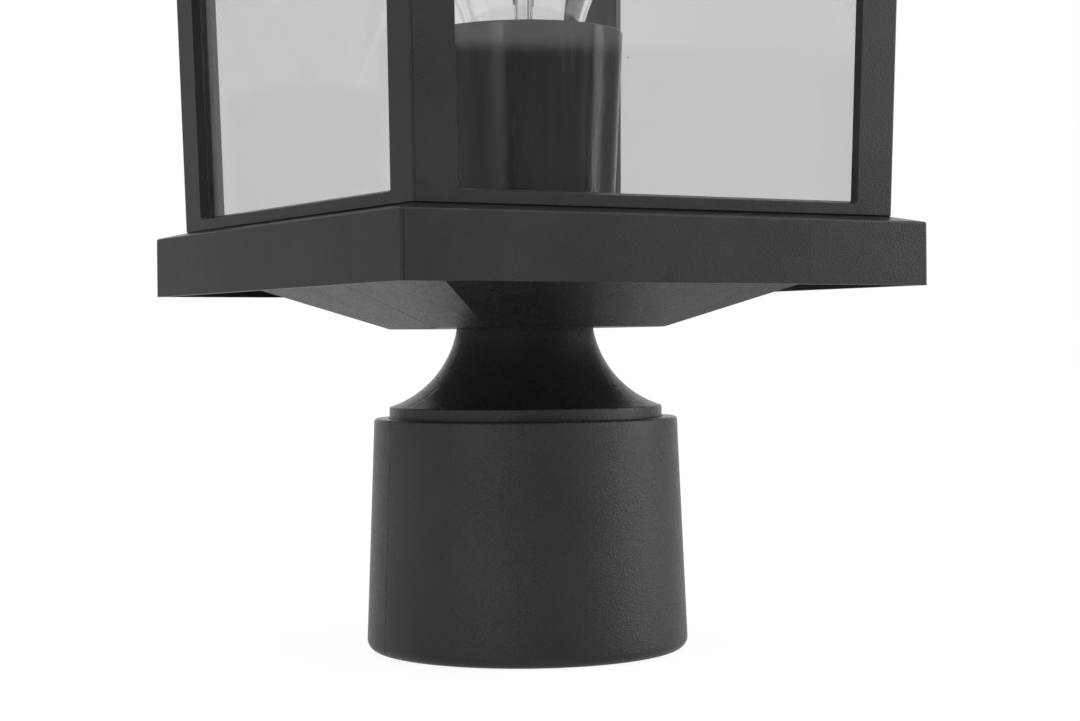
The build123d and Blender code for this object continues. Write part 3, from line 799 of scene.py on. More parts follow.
    def pick(self, kind: str, test: Callable[..., bool]) -> None:
        """Open the mesh with the edges or points that pass a test selected.

        Args:
            kind: EDGE or VERT.
            test: takes an edge's two ends, or a point, and says whether it is picked.
        """
        self.edit(kind, "DESELECT")
        bpy.ops.object.mode_set(mode="OBJECT")
        points = self.piece.data.vertices
        if kind == "EDGE":
            for edge in self.piece.data.edges:
                edge.select = bool(test(*(points[end].co for end in edge.vertices)))
        else:
            for point in points:
                point.select = bool(test(point.co))
        bpy.ops.object.mode_set(mode="EDIT")

    def trim(self, low: float, high: float, fill: bool = True) -> None:
        """Cut both ends off square.

        Args:
            low: the height of the lower cut in millimetres.
            high: the height of the upper cut.
            fill: whether the cuts are closed.
        """
        for height, way in ((low, -1), (high, 1)):
            self.edit("VERT")
            bpy.ops.mesh.bisect(
                plane_co=(0, 0, height * MM),
                plane_no=(0, 0, way),
                use_fill=fill,
                clear_outer=True,
                threshold=1e-8,
            )
            self.done()

    def close(self) -> None:
        """Close every open edge loop with a face."""
        self.edit("EDGE", "DESELECT")
        bpy.ops.mesh.select_non_manifold(extend=False, use_wire=False, use_multi_face=False)
        bpy.ops.mesh.fill_holes(sides=0)
        bpy.ops.mesh.select_all(action="SELECT")
        bpy.ops.mesh.normals_make_consistent(inside=False)
        self.done()

    def combine(self, tool: "Work", operation: str) -> None:
        """Cut the mesh with another one, which is used up.

        Args:
            tool: the other work.
            operation: INTERSECT, DIFFERENCE or UNION.
        """
        self.modify("BOOLEAN", operation=operation, object=tool.piece, solver="EXACT")
        bpy.data.objects.remove(tool.piece, do_unlink=True)

    def join(self, *others: "Work") -> None:
        """Join other works into this mesh.

        Args:
            others: the other works.
        """
        self.hold()
        for other in others:
            other.piece.select_set(True)
        bpy.ops.object.join()

    def repeat(self, places: Sequence[Matrix]) -> None:
        """Put a copy at each place, in one mesh.

        Args:
            places: where the copies stand; lengths are in metres.
        """
        self.hold()
        bpy.ops.object.transform_apply(location=True, rotation=True, scale=True)
        copies = []
        for place in places[1:]:
            copy = bpy.data.objects.new(self.piece.name, self.piece.data.copy())
            bpy.context.scene.collection.objects.link(copy)
            copy.data.transform(place)
            bpy.context.view_layer.objects.active = copy
            copies.append(Work(self.piece.name))
        self.piece.data.transform(places[0])
        self.join(*copies)

    def modify(self, kind: str, **settings: object) -> None:
        """Add a modifier and apply it.

        Args:
            kind: the modifier's type.
            settings: its properties.
        """
        self.hold()
        bpy.ops.object.modifier_add(type=kind)
        modifier = self.piece.modifiers[-1]
        for key, value in settings.items():
            setattr(modifier, key, value)
        bpy.ops.object.modifier_apply(modifier=modifier.name)

    def round_off(self, width: float) -> None:
        """Round the sharp edges.

        Args:
            width: the rounding in millimetres.
        """
        self.modify(
            "BEVEL",
            width=width * MM,
            segments=2,
            limit_method="ANGLE",
            angle_limit=math.radians(50),
            use_clamp_overlap=True,
            harden_normals=False,
        )

    def settle(self, smooth_angle: float = 35.0, flats: bool = False) -> bpy.types.Object:
        """Put the piece's place into its mesh and smooth its shading.

        Args:
            smooth_angle: edges sharper than this stay sharp, in degrees.
            flats: whether wide flat faces are shaded flat up to their rounded edges.

        Returns:
            The piece.
        """
        self.hold()
        bpy.ops.object.transform_apply(location=True, rotation=True, scale=True)
        bpy.ops.object.shade_smooth_by_angle(angle=math.radians(smooth_angle))
        if flats:
            self.modify("WEIGHTED_NORMAL", weight=100, keep_sharp=True)
        return self.piece


class Builder:
    """Dresses finished work, rides it on its body and hides the CAD nodes that it stands for."""

    def __init__(self, paints: Paintbox) -> None:
        """Keep the paints.

        Args:
            paints: the finishes.
        """
        self.paints = paints

    def fit(self, piece: bpy.types.Object, finish: Finish, body: str, *nodes: str) -> None:
        """Finish one piece.

        Args:
            piece: the settled piece.
            finish: its finish.
            body: the body that it rides on.
            nodes: the CAD nodes that it stands for.
        """
        piece.data.materials.clear()
        self.paints.dress(piece, finish)
        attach(piece, body)
        if nodes:
            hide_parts(*nodes)
        LOG.info("%s: %d faces on %s", piece.name, len(piece.data.polygons), body)

    def soften(self, name: str, node: str, finish: Finish, width: float, body: str = "lantern") -> None:
        """Copy a CAD node, round its sharp edges and finish it.

        Args:
            name: the piece's name.
            node: the node's name.
            finish: its finish.
            width: the rounding in millimetres.
            body: the body that it rides on.
        """
        work = Work.copied(name, node)
        work.round_off(width)
        self.fit(work.settle(32.0, flats=True), finish, body, node)

    def paint_node(self, node: str, finish: Finish) -> None:
        """Give a CAD node its finish.

        Args:
            node: the node's name.
            finish: its finish.
        """
        self.paints.dress(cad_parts[node], finish)
        LOG.info("%s: painted %s", node, finish.value.name)


# ---- Sub-assemblies ------------------------------------------------------------------


@dataclass
class PostFitter:
    """The tapered cup, collar and flared neck, cast in one."""

    bore: float = 39.0
    bore_depth: float = 57.0
    foot: float = 44.5
    foot_rounding: float = 3.0
    shoulder: float = 42.1
    shoulder_height: float = 64.0
    collar: float = 37.85
    collar_top: float = 67.2
    neck_top: float = 19.0
    top: float = 88.66
    neck_curve: float = 27.3
    neck_wall: float = 3.0
    curve_centre: Point = (45.9, 93.29)
    web: float = 4.0
    hole: float = 5.3
    stop: float = 34.0
    seam_width: float = 0.16
    seam_depth: float = 0.14
    screw_height: float = 22.0
    screw_hole: float = 3.05

    def profile(self) -> List[Point]:
        """The casting's half section, up the outside and down the inside."""
        points = [(self.bore + 0.4, 0.0), (self.foot - self.foot_rounding, 0.0)]
        points += arc(points[-1], (self.foot, self.foot_rounding), -self.foot_rounding, 10)
        high = (self.shoulder, self.shoulder_height - 0.8)
        points += line(points[-1], high, 12)
        points += arc(high, (self.shoulder - 0.8, self.shoulder_height), -0.8, 5)
        groove = self.collar + 0.45
        points += [(groove, self.shoulder_height), (groove - 0.12, self.shoulder_height - 0.3)]
        points += [(self.collar, self.shoulder_height - 0.3), (self.collar, self.collar_top - 0.5)]
        points += arc(points[-1], (self.collar - 0.5, self.collar_top), -0.5, 4)
        points += arc(points[-1], (self.neck_top, self.top), self.neck_curve, 28)
        ceiling = self.top - self.web
        points += [(self.hole, self.top), (self.hole, ceiling)]
        points += [(self.neck_top - self.neck_wall, ceiling)]
        inner_curve = self.neck_curve + self.neck_wall
        points += arc(points[-1], (self.stop, self.collar_top - 1.8), -inner_curve, 16)
        points += [(self.stop, self.bore_depth), (self.bore, self.bore_depth), (self.bore, 0.4)]
        return points

    def seam(self, work: Work) -> None:
        """Cut the moulding line down the left side of the casting.

        Args:
            work: the turned casting.
        """

        def on_line(point: Vector) -> bool:
            """Whether a point lies on the outer left meridian."""
            z = point.z / MM
            out = -point.x / MM
            outer = out > self.bore + 1.5 if z < self.bore_depth else out > self.neck_top - 0.5
            inner = z > self.bore_depth - 1 and out < self.stop + 0.5 and z < self.collar_top
            wall = z > self.collar_top and out < self.wall_inside(z)
            return abs(point.y) < 1e-6 and 1.5 < z < self.top - 0.2 and outer and not inner and not wall

        work.pick("EDGE", lambda a, b: on_line(a) and on_line(b) and (a.xz - b.xz).length > 1e-7)
        bpy.ops.mesh.bevel(offset=self.seam_width * MM, segments=2, profile=0.5)
        work.done()
        work.pick("VERT", lambda p: abs(p.y) < 1e-7 and on_line(p))
        bpy.ops.transform.translate(value=(self.seam_depth * MM, 0, 0))
        work.done()

    def wall_inside(self, height: float) -> float:
        """A radius between the neck's outside and inside at a height."""
        drop = self.curve_centre[1] - height
        middle = self.neck_curve + 0.5 * self.neck_wall
        return self.curve_centre[0] - math.sqrt(max(middle**2 - drop**2, 0.0))

    def tap(self, work: Work) -> None:
        """Bore the two tapped holes for the set screws, on the right and at the rear.

        Args:
            work: the turned casting.
        """
        ends = [(self.screw_hole, self.bore - 3.0), (self.screw_hole, self.foot + 3.0)]
        drill = Work.solid("drill", ends, 48)
        raised = Matrix.Translation((0, 0, self.screw_height * MM))
        level = raised @ Matrix.Rotation(math.radians(90), 4, "Y")
        drill.repeat([Matrix.Rotation(math.radians(turn), 4, "Z") @ level for turn in (0, 90)])
        work.combine(drill, "DIFFERENCE")

    def build(self, builder: Builder) -> None:
        """Turn the casting and dress it and its set screws."""
        work = Work.turned("fitter_casting", self.profile(), 160)
        self.seam(work)
        self.tap(work)
        builder.fit(work.settle(30.0), Finish.CASTING, "lantern", "post_fitter")
        builder.paint_node("fitter_set_screw_1", Finish.SCREW)
        builder.paint_node("fitter_set_screw_2", Finish.SCREW)


@dataclass
class Base:
    """The pan under the lantern and the tray that the cage stands on."""

    pan_foot: float = 27.88
    pan_foot_height: float = 88.66
    pan_slope: float = 0.423
    seam_width: float = 0.16
    seam_depth: float = 0.14

    def pan(self) -> bpy.types.Object:
        """Copy the pan and cut its moulding line."""
        work = Work.copied("pan_casting", "base_pan")
        work.edit("EDGE")
        bpy.ops.mesh.bisect(plane_co=(0, 0, 0), plane_no=(0, 1, 0))
        work.done()

        def on_line(point: Vector) -> bool:
            """Whether a point lies on the outer left facet's middle line."""
            out = -point.x / MM
            z = point.z / MM
            facet = self.pan_foot_height + (out - self.pan_foot) * self.pan_slope
            return abs(point.y) < 1e-6 and out > self.pan_foot - 1 and abs(z - facet) < 0.5

        work.pick("EDGE", lambda a, b: on_line(a) and on_line(b))
        bpy.ops.mesh.bevel(offset=self.seam_width * MM, segments=2, profile=0.5)
        work.done()
        work.pick("VERT", lambda p: abs(p.y) < 1e-7 and on_line(p))
        bpy.ops.transform.translate(value=(0, 0, self.seam_depth * MM))
        work.done()
        return work.settle(12.0)

    def build(self, builder: Builder) -> None:
        """Make the pan, tray and cage castings."""
        builder.fit(self.pan(), Finish.CASTING, "lantern", "base_pan")
        builder.soften("tray_casting", "base_tray", Finish.FRAME, 0.25)
        builder.soften("cage_casting", "cage_frame", Finish.FRAME, 0.15)
        builder.soften("roof_casting", "roof", Finish.FRAME, 0.25, "roof_cover")


@dataclass
class Side:
    """Places on one flared side of the cage."""

    foot_half: float = 71.73
    foot: float = 117.3
    flare: float = 0.025
    inner: float = 4.4

    def places(self, turn: float, rise: float, inset: float, depth: float) -> List[Matrix]:
        """Two places on a side, left and right of its middle, with Z pointing inwards.

        Args:
            turn: the side's turn from the front, in degrees.
            rise: how far up the flare, in millimetres.
            inset: how far in from the side's corner.
            depth: how deep below the outer face.

        Returns:
            The two places.
        """
        lean = math.atan(self.flare)
        out = Vector((0.0, -math.cos(lean), -math.sin(lean)))
        up = Vector((0.0, -math.sin(lean), math.cos(lean)))
        along = self.foot_half + rise * math.sin(lean) - inset
        around = Matrix.Rotation(math.radians(turn), 4, "Z")
        places = []
        for hand in (-1, 1):
            at = Vector((hand * along, -self.foot_half, self.foot)) + up * rise - out * depth
            axes = Matrix((Vector((-1, 0, 0)), up, -out)).transposed().to_4x4()
            axes.translation = at * MM
            places.append(around @ axes)
        return places


@dataclass
class Fittings:
    """Panes, clips, screws, nuts, the threaded tube and the stud."""

    side: Side
    clip_rise: float = 118.0
    clip_stagger: float = 13.0
    clip_inset: float = 6.9
    clip_thickness: float = 0.8
    nipple: Tuple[float, float, float] = (5.1, 76.06, 126.7)
    nipple_bore: float = 3.5
    stud: Tuple[float, float, float] = (3.0, 290.0, 354.52)
    soft: Tuple[Tuple[str, Finish, float], ...] = (
        ("neck_washer", Finish.ZINC, 0.15),
        ("socket_strap", Finish.ZINC, 0.15),
        ("roof_crossbar", Finish.ZINC, 0.25),
        ("pane_clips", Finish.ZINC, 0.12),
        ("front_pane", Finish.PANE, 0.2),
        ("rear_pane", Finish.PANE, 0.2),
        ("left_pane", Finish.PANE, 0.2),
        ("right_pane", Finish.PANE, 0.2),
        ("wire_bushing", Finish.BUSHING, 0.15),
    )

    def clip_screws(self, builder: Builder) -> None:
        """Make the eight screws of the pane clips."""
        work = Work.screw("clip_screws", 1.4, 2.25, 1.6, 2.4)
        places: List[Matrix] = []
        depth = self.side.inner + self.clip_thickness
        for number, turn in enumerate((0, 90, 180, 270)):
            rise = self.clip_rise + self.clip_stagger * (number % 2)
            for place in self.side.places(turn, rise, self.clip_inset, depth):
                places.append(place @ Matrix.Rotation(math.radians(37 * len(places) + 15), 4, "Z"))
        work.repeat(places)
        builder.fit(work.settle(30.0), Finish.SCREW, "lantern", "pane_clip_screws")

    def upright_screws(self, builder: Builder) -> None:
        """Make the screws that stand upright: under the tray, in the strap and on the crossbar."""
        four, two = ((-1, -1), (1, -1), (-1, 1), (1, 1)), ((-1, 0), (1, 0))
        rows = (
            ("tray_screws", "cage_screws", (1.95, 3.6, 2.4, 5.7), four, True),
            ("strap_screws", "socket_screws", (1.4, 2.25, 1.6, 8.0), two, True),
            ("bar_screws", "crossbar_screws", (1.6, 2.9, 2.0, 7.0), two, False),
        )
        for name, node, size, corners, hanging in rows:
            low, high = (Vector(end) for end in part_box(node))
            out_x, out_y = high.x - size[1] * MM, high.y - size[1] * MM
            seat = low.z + size[2] * MM if hanging else high.z - size[2] * MM
            work = Work.screw(name, *size)
            places = []
            for number, (x, y) in enumerate(corners):
                spin = Matrix.Rotation(math.radians(48 * number + 20), 4, "Z")
                flip = Matrix.Rotation(math.pi if hanging else 0.0, 4, "X")
                places.append(Matrix.Translation((x * out_x, y * out_y, seat)) @ flip @ spin)
            work.repeat(places)
            builder.fit(work.settle(30.0), Finish.SCREW, "lantern", node)

    def nuts(self, builder: Builder) -> None:
        """Make the nuts on the tube and on the stud."""
        for name, node in (("neck_nut", "neck_locknut"), ("sleeve_nut", "sleeve_locknut")):
            work = Work.nut(name, 16.0, self.nipple[0] + 0.02, heights(node)[0], 4.0)
            builder.fit(work.settle(25.0), Finish.ZINC, "lantern", node)
        low, high = heights("stud_nuts")
        work = Work.nut("bar_nuts", 10.0, self.stud[0] + 0.02, low, 5.0)
        work.join(Work.nut("bar_nut_upper", 10.0, self.stud[0] + 0.02, high - 5.0, 5.0))
        builder.fit(work.settle(25.0), Finish.ZINC, "lantern", "stud_nuts")

    def rods(self, builder: Builder) -> None:
        """Cut the threaded tube and the threaded stud."""
        radius, low, high = self.nipple
        tube = Work.rod("threaded_tube", radius, low, high, 0.94, 0.3)
        bore = [(0.5, low - 1), (self.nipple_bore, low - 1)]
        bore += [(self.nipple_bore, high + 1), (0.5, high + 1)]
        tube.combine(Work.solid("drill", bore, 64), "DIFFERENCE")
        builder.fit(tube.settle(25.0), Finish.ZINC, "lantern", "centre_nipple")
        radius, low, high = self.stud
        stud = Work.rod("threaded_stud", radius, low, high, 1.0, 0.5)
        builder.fit(stud.settle(25.0), Finish.ZINC, "lantern", "roof_stud")

    def build(self, builder: Builder) -> None:
        """Make each fitting."""
        self.clip_screws(builder)
        self.upright_screws(builder)
        self.nuts(builder)
        self.rods(builder)
        for node, finish, width in self.soft:
            builder.soften(f"{node}_finished", node, finish, width)


@dataclass
class Socket:
    """The tapered sleeve and the porcelain lamp holder inside it."""

    foot: float = 24.6
    rim: float = 27.5
    low: float = 117.3
    high: float = 170.4
    wall: float = 1.8
    floor: float = 2.0
    hole: float = 5.3
    thread_pitch: float = 3.629

    def profile(self) -> List[Point]:
        """The sleeve's half section."""
        start = (self.foot, self.low + 0.3)
        points: List[Point] = [(self.hole, self.low), (self.foot - 0.3, self.low), start]
        points += line(start, (self.rim, self.high - 0.6), 10)
        points += arc(points[-1], (self.rim - 0.6, self.high), -0.6, 5)
        inner = self.rim - self.wall
        points += [(inner + 0.3, self.high)]
        points += arc(points[-1], (inner, self.high - 0.3), -0.3, 3)
        points += [(self.foot - self.wall, self.low + self.floor), (self.hole, self.low + self.floor)]
        return points

    def screw_shell(self) -> bpy.types.Object:
        """Wind the lamp holder's rolled thread and add its plain rims."""
        low, high = heights("socket_screw_shell")
        work = rolled_thread(
            "socket_thread", 13.72, 0.3, self.thread_pitch, low + 1.0, high - 1.0, 0.35
        )
        for start, end in ((low, low + 1.1), (high - 1.1, high)):
            rim = [(13.6, start), (14.08, start), (14.08, end), (13.6, end)]
            work.join(Work.turned("rim", rim, 96))
        return work.settle(40.0)

    def build(self, builder: Builder) -> None:
        """Turn the sleeve and finish the lamp holder."""
        work = Work.turned("sleeve_cup", self.profile(), 128)
        builder.fit(work.settle(30.0), Finish.SLEEVE, "lantern", "socket_sleeve")
        builder.fit(self.screw_shell(), Finish.BRASS, "lantern", "socket_screw_shell")
        builder.soften("socket_body_finished", "socket_body", Finish.PORCELAIN, 0.3)
        builder.soften("socket_contact_finished", "socket_contact", Finish.BRASS, 0.08)


def rolled_thread(
    name: str, radius: float, wave: float, pitch: float, low: float, high: float, wall: float
) -> Work:
    """Wind the rounded thread of a sheet-metal screw shell.

    Args:
        name: the piece's name.
        radius: the thread's middle radius in millimetres.
        wave: how far it swings each way.
        pitch: how far one turn climbs.
        low: the height of its lower end.
        high: the height of its upper end.
        wall: the sheet's thickness, added inwards.

    Returns:
        The thread as closed work.
    """
    parts = 14
    start = low - 1.31 * pitch
    profile = [
        (radius - wave * math.cos(2 * math.pi * part / parts), start + pitch * part / parts)
        for part in range(parts + 1)
    ]
    turns = math.ceil((high - low) / pitch) + 3
    work = Work.wound(name, profile, pitch, turns, 64)
    work.trim(low, high, fill=False)
    work.modify("SOLIDIFY", thickness=wall * MM, offset=-1.0, use_even_offset=False)
    return work


@dataclass
class Lamp:
    """The clear lamp: envelope, stem, leads, coiled filament and screw base."""

    bottom: float = 134.6
    seat: float = 150.6
    base_top: float = 159.6
    neck: float = 12.3
    waist: float = 17.5
    waist_height: float = 40.4
    belly: float = 29.98
    belly_height: float = 76.0
    length: float = 109.0
    wall: float = 0.8
    thread_pitch: float = 3.629
    base_radius: float = 13.1
    coil_radius: float = 0.24
    coil_wire: float = 0.055
    coil_pitch: float = 0.26

    def envelope(self) -> bpy.types.Object:
        """Turn the glass envelope and give it its wall."""
        waist = (self.waist, self.bottom + self.waist_height)
        belly = (self.belly, self.bottom + self.belly_height)
        points: List[Point] = [(self.neck, self.seat), (self.neck, self.base_top)]
        points += sweep(points[-1], (2.0, 16.0), waist, (5.6, 18.0), 12)
        points += sweep(waist, (11.5, 37.0), belly, (0.0, 40.0), 22)
        points += arc(belly, (0.6, self.bottom + self.length - 0.01), -(self.belly + 1.5), 26)
        points.append((0.0, self.bottom + self.length))
        work = Work.turned("lamp_envelope", points, 128, loop=False)
        work.modify("SOLIDIFY", thickness=self.wall * MM, offset=-1.0, use_even_offset=True)
        return work.settle(60.0)

    def screw_base(self) -> bpy.types.Object:
        """Wind the rolled thread and turn the shell's foot and collar."""
        low, high = heights("bulb_screw_shell")
        crest = self.base_radius - 0.02
        work = rolled_thread(
            "lamp_base", crest - 0.42, 0.42, self.thread_pitch, low + 3.2, high - 3.4, 0.35
        )
        inner = crest - 1.25
        foot: List[Point] = [(8.0, low), (10.5, low)]
        foot += arc(foot[-1], (crest - 0.35, low + 2.4), -2.6, 6)
        foot += [(crest - 0.4, low + 3.35), (inner, low + 3.35), (inner, low + 2.6), (8.0, low + 0.5)]
        collar: List[Point] = [(inner, high - 3.6), (crest - 0.5, high - 3.6)]
        collar += [(crest - 0.2, high - 3.0), (crest - 0.2, high - 0.5), (crest, high - 0.3)]
        collar += [(crest - 0.05, high), (inner + 0.45, high), (inner, high - 0.6)]
        work.join(Work.turned("foot", foot, 96), Work.turned("collar", collar, 96))
        return work.settle(40.0)

    def filament(self) -> bpy.types.Object:
        """Wind the filament's coil and bend it into its low arch."""
        low, high = (Vector(end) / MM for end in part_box("bulb_filament"))
        reach, rise = high.x - 0.1, high.z - low.z - 2 * (self.coil_radius + self.coil_wire)
        radius = (reach * reach + rise * rise) / (2 * rise)
        sweep_angle = 2 * math.asin(reach / radius)
        turns = int(radius * sweep_angle / self.coil_pitch)
        ring = [
            (
                self.coil_radius + self.coil_wire * math.cos(2 * math.pi * side / 5),
                self.coil_wire * math.sin(2 * math.pi * side / 5),
            )
            for side in range(6)
        ]
        work = Work.wound("coiled_filament", ring, self.coil_pitch, turns, 12)
        work.close()
        long = turns * self.coil_pitch * MM
        middle = self.coil_radius + self.coil_wire
        work.piece.data.transform(Matrix.Translation((0, 0, -long / 2)))
        for point in work.piece.data.vertices:
            angle = point.co.z / (radius * MM)
            out = radius * MM + point.co.x
            place = (math.sin(angle) * out, point.co.y, math.cos(angle) * out - radius * MM)
            point.co = Vector(place) + Vector((0, 0, (high.z - middle) * MM))
        work.edit("FACE")
        bpy.ops.mesh.normals_make_consistent(inside=False)
        work.done()
        return work.settle(60.0)

    def stem(self) -> bpy.types.Object:
        """Turn the glass stem: flared foot, slim tube, pinched press and rounded tip."""
        low, high = heights("bulb_stem")
        points: List[Point] = [(11.1, low), (11.1, low + 0.5)]
        points += sweep(points[-1], (-6.0, 1.0), (4.2, low + 13.0), (-0.6, 9.0), 10)
        points += sweep(points[-1], (-0.4, 3.0), (2.55, high - 12.0), (0.0, 3.0), 6)
        points += [(2.55, high - 2.6)]
        points += arc(points[-1], (0.3, high - 0.01), -2.6, 7)
        points += [(0.0, high)]
        work = Work.turned("stem", points, 64, loop=False)
        work.modify("SOLIDIFY", thickness=0.7 * MM, offset=-1.0, use_even_offset=False)
        work.pick("VERT", lambda p: low + 15 < p.z / MM < high - 4)
        bpy.ops.transform.resize(value=(1.0, 0.62, 1.0), center_override=(0, 0, 0))
        work.done()
        return work.settle(50.0)

    def build(self, builder: Builder) -> None:
        """Make the lamp's glass, filament and base."""
        builder.fit(self.envelope(), Finish.LAMP_GLASS, "lamp", "bulb_glass")
        builder.fit(self.stem(), Finish.LAMP_GLASS, "lamp", "bulb_stem")
        builder.fit(self.screw_base(), Finish.LAMP_BASE, "lamp", "bulb_screw_shell")
        builder.fit(self.filament(), Finish.TUNGSTEN, "lamp", "bulb_filament")
        builder.paint_node("bulb_lead_wires", Finish.WIRE)
        builder.paint_node("bulb_insulator", Finish.INSULATOR)
        builder.paint_node("bulb_contact", Finish.SOLDER)


@dataclass
class Finial:
    """The knob on the roof and its seal."""

    foot: float = 9.6
    foot_height: float = 3.0
    waist: float = 5.2
    waist_height: float = 11.0
    ball: float = 9.4
    bore: float = 3.15
    bore_depth: float = 16.0

    def knob(self) -> bpy.types.Object:
        """Turn the knob: stepped foot, hollow waist and ball."""
        low, high = heights("finial_knob")
        shoulder = low + self.foot_height
        neck = shoulder + self.waist_height
        middle = high - self.ball
        points: List[Point] = [(self.bore + 0.4, low), (self.foot - 0.4, low)]
        points += arc(points[-1], (self.foot, low + 0.4), -0.4, 4)
        points += [(self.foot, shoulder - 0.4)]
        points += arc(points[-1], (self.foot - 0.4, shoulder), -0.4, 4)
        points += arc(points[-1], (self.waist, neck - 1.0), self.waist_height * 1.1, 14)
        points += [(self.waist, neck)]
        points += arc(points[-1], (self.ball, middle), -self.ball, 10)
        points += arc(points[-1], (0.2, high), -self.ball, 20)
        points += [(0.0, high)]
        work = Work.solid("knob", points, 96)
        bore = [(0.5, low - 1), (self.bore, low - 1), (self.bore, low + self.bore_depth)]
        bore += [(0.5, low + self.bore_depth + 0.8)]
        work.combine(Work.solid("drill", bore, 48), "DIFFERENCE")
        return work.settle(32.0)

    def build(self, builder: Builder) -> None:
        """Make the knob and its seal."""
        builder.fit(self.knob(), Finish.CASTING, "finial", "finial_knob")
        builder.soften("seal", "finial_seal_washer", Finish.RUBBER, 0.3, "roof_cover")


# ---- Studio --------------------------------------------------------------------------


@dataclass
class Studio:
    """Camera, lights, floor and world."""

    turn: float = 30.415
    yaw: float = 0.403
    distance: float = 587.28
    eye: float = 83.705
    pitch: float = 0.3997
    roll: float = -0.5122
    focal_pixels: float = 2106.93
    image_width: float = 1080.0
    ceiling: float = 0.5
    dome: float = 0.75
    aim_height: float = 0.14
    rise_start: float = 5.35
    rise_blur: float = 0.6
    ceiling_start: float = 38.0
    ceiling_blur: float = 0.35
    floor_seen: float = 0.92
    floor_mirrored: float = 0.44
    floor_bounce: float = 0.14
    left_panels: Tuple[Point, ...] = (
        (-180, 1.0), (-158, 1.0), (-145, 0.45), (-125, 0.32), (-108, 0.36), (-90, 0.65),
        (-62, 0.55), (-52, 0.22), (-46, 0.3), (-36, 1.2), (-23, 1.1),
    )
    low_panels: Tuple[Point, ...] = (
        (-14, 0.06), (12, 0.08), (30, 0.25), (40, 0.11), (70, 0.11), (79, 1.7), (105, 1.7),
    )
    high_panels: Tuple[Point, ...] = (
        (-14, 0.08), (12, 0.12), (30, 0.5), (44, 1.05), (61, 1.1), (66, 0.35), (70, 0.35), (79, 1.2),
        (105, 1.2),
    )
    right_panels: Tuple[Point, ...] = ((113, 0.4), (145, 0.3), (158, 1.0), (180, 1.0))

    def camera(self) -> None:
        """Place the camera where the photograph was taken from."""
        turn, heading = math.radians(self.turn), math.radians(self.turn + self.yaw)
        pitch, roll = math.radians(self.pitch), math.radians(self.roll)
        ahead = Vector((math.sin(heading), math.cos(heading), 0.0))
        right = Vector((math.cos(heading), -math.sin(heading), 0.0))
        up = Vector((0.0, 0.0, 1.0))
        forward = ahead * math.cos(pitch) - up * math.sin(pitch)
        over = up * math.cos(pitch) + ahead * math.sin(pitch)
        x_axis = right * math.cos(roll) + over * math.sin(roll)
        y_axis = over * math.cos(roll) - right * math.sin(roll)
        data = bpy.data.cameras.new("view")
        data.sensor_width = 36.0
        data.lens = self.focal_pixels / self.image_width * 36.0
        data.clip_start = 0.01
        data.clip_end = 50.0
        camera = bpy.data.objects.new("view", data)
        bpy.context.scene.collection.objects.link(camera)
        away = self.distance * Vector((math.sin(turn), math.cos(turn), 0.0))
        matrix = Matrix((x_axis, y_axis, -forward)).transposed().to_4x4()
        matrix.translation = (up * self.eye - away) * MM
        camera.matrix_world = matrix
        bpy.context.scene.camera = camera

    def lamp(
        self, name: str, bearing: float, height: float, away: float, size: Point, watts: float
    ) -> None:
        """Add one soft panel light that faces the lantern.

        Args:
            name: its name.
            bearing: degrees to the right of the camera's side, seen from above.
            height: its middle's height in metres.
            away: its distance from the axis in metres.
            size: its width and height in metres.
            watts: its power.
        """
        data = bpy.data.lights.new(name, "AREA")
        data.shape = "RECTANGLE"
        data.size, data.size_y, data.energy = *size, watts
        light = bpy.data.objects.new(name, data)
        bpy.context.scene.collection.objects.link(light)
        angle = math.radians(-90.0 - self.turn + bearing)
        light.location = (away * math.cos(angle), away * math.sin(angle), height)
        aim = Vector((0, 0, self.aim_height)) - light.location
        light.rotation_euler = aim.to_track_quat("-Z", "Y").to_euler()

    def world(self) -> None:
        """Light the studio with soft panels all round, and show white behind the lantern."""
        turn = math.radians(self.turn)
        recipe = Recipe("studio", True)
        side = self.component(recipe, (math.cos(turn), -math.sin(turn), 0.0))
        near = self.component(recipe, (-math.sin(turn), -math.cos(turn), 0.0))
        made = recipe.node("ShaderNodeMath", {"operation": "ARCTAN2"}, {0: side, 1: near})
        bearing = Shade(recipe, made.outputs[0])
        share = bearing * (0.5 / math.pi) + 0.5
        low, high = (
            self.panels(recipe, share, self.left_panels + middle + self.right_panels)
            for middle in (self.low_panels, self.high_panels)
        )
        height = self.component(recipe, (0.0, 0.0, 1.0))
        rise = height.above(
            math.sin(math.radians(self.rise_start)), math.sin(math.radians(self.rise_blur))
        )
        lift = height.above(math.sin(math.radians(self.ceiling_start)), self.ceiling_blur)
        around = low * (1 - rise) + high * rise
        studio = around * (1 - lift) + lift * self.ceiling
        path = recipe.node("ShaderNodeLightPath", {}, {})
        diffuse = Shade(recipe, path.outputs["Is Diffuse Ray"])
        seen = Shade(recipe, path.outputs["Is Camera Ray"])
        level = (studio * (1 - diffuse) + diffuse * self.dome) * (1 - seen) + seen
        shader = recipe.node("ShaderNodeBackground", {}, {"Color": (1.0, 1.0, 1.0), "Strength": level})
        recipe.node("ShaderNodeOutputWorld", {}, {"Surface": shader.outputs[0]})
        bpy.context.scene.world = recipe.owner

    @staticmethod
    def component(recipe: Recipe, along: Colour) -> Shade:
        """How far the world direction points along a unit direction."""
        inputs = {0: recipe.place, 1: along}
        made = recipe.node("ShaderNodeVectorMath", {"operation": "DOT_PRODUCT"}, inputs)
        return Shade(recipe, made.outputs["Value"])

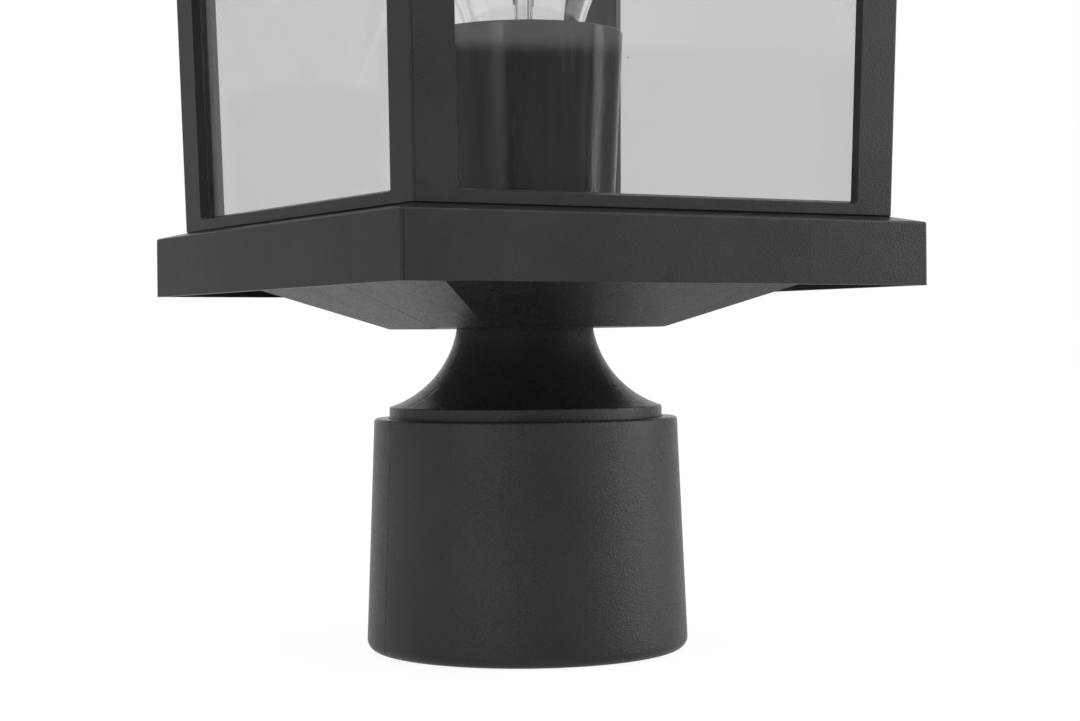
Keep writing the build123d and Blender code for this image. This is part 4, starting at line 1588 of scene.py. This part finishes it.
    @staticmethod
    def panels(recipe: Recipe, share: Shade, stops: Sequence[Point]) -> Shade:
        """Brightness of the studio by bearing.

        Args:
            recipe: the world's recipe.
            share: the bearing, from 0 to 1 for a whole turn that starts behind the lantern.
            stops: pairs of bearing in degrees and brightness.

        Returns:
            The brightness.
        """
        most = 4.0
        ramp = recipe.node(
            "ShaderNodeValToRGB",
            {"stops": [(angle / 360 + 0.5, (level / most,) * 3) for angle, level in stops]},
            {0: share},
        )
        return Shade(recipe, ramp.outputs[0]) * most

    def floor(self) -> None:
        """Lay a pale floor that shows white and keeps a soft shadow."""
        bpy.ops.object.select_all(action="DESELECT")
        bpy.ops.mesh.primitive_circle_add(
            vertices=96, radius=6.0, fill_type="NGON", location=(0, 0, -0.0002)
        )
        floor = bpy.context.active_object
        floor.name = "floor"
        bpy.ops.object.transform_apply(location=True, rotation=True, scale=True)
        recipe = Recipe("pale_floor")
        path = recipe.node("ShaderNodeLightPath", {}, {})
        seen = recipe.node(
            "ShaderNodeMath",
            {"operation": "MAXIMUM"},
            {0: path.outputs["Is Camera Ray"], 1: path.outputs["Is Transmission Ray"]},
        )
        seen = Shade(recipe, seen.outputs[0])
        mirrored = Shade(recipe, path.outputs["Is Glossy Ray"])
        paint = recipe.node("ShaderNodeBsdfDiffuse", {}, {"Color": (0.85, 0.85, 0.85)})
        glow = seen * self.floor_seen + mirrored * self.floor_mirrored
        veil = recipe.node("ShaderNodeEmission", {}, {"Color": (1.0, 1.0, 1.0), "Strength": glow})
        shown = recipe.node("ShaderNodeAddShader", {}, {})
        pale = recipe.node("ShaderNodeBsdfDiffuse", {}, {"Color": (self.floor_bounce,) * 3})
        recipe.tree.links.new(pale.outputs[0], shown.inputs[0])
        recipe.tree.links.new(veil.outputs[0], shown.inputs[1])
        both = recipe.node(
            "ShaderNodeMixShader", {}, {0: seen + mirrored, 1: paint.outputs[0], 2: shown.outputs[0]}
        )
        recipe.node("ShaderNodeOutputMaterial", {}, {"Surface": both.outputs[0]})
        floor.data.materials.append(recipe.owner)

    def build(self) -> None:
        """Set up the whole studio."""
        scene = bpy.context.scene
        scene.view_settings.view_transform = "Standard"
        self.camera()
        self.world()
        self.floor()
        self.lamp("right_panel", 93.0, 0.46, 1.1, (0.42, 0.8), 3.0)
        self.lamp("left_panel", -27.0, 0.66, 1.1, (0.16, 1.0), 1.2)
        self.lamp("top_panel", 20.0, 1.5, 0.3, (1.2, 1.2), 6.0)


def main() -> None:
    """Build the lantern's looks and the studio."""
    logging.basicConfig(level=logging.INFO, format="%(name)s: %(message)s")
    builder = Builder(Paintbox())
    for part in (PostFitter(), Base(), Fittings(Side()), Socket(), Lamp(), Finial()):
        LOG.info("building %s", type(part).__name__)
        part.build(builder)
    Studio().build()


if __name__ == "__main__":
    main()
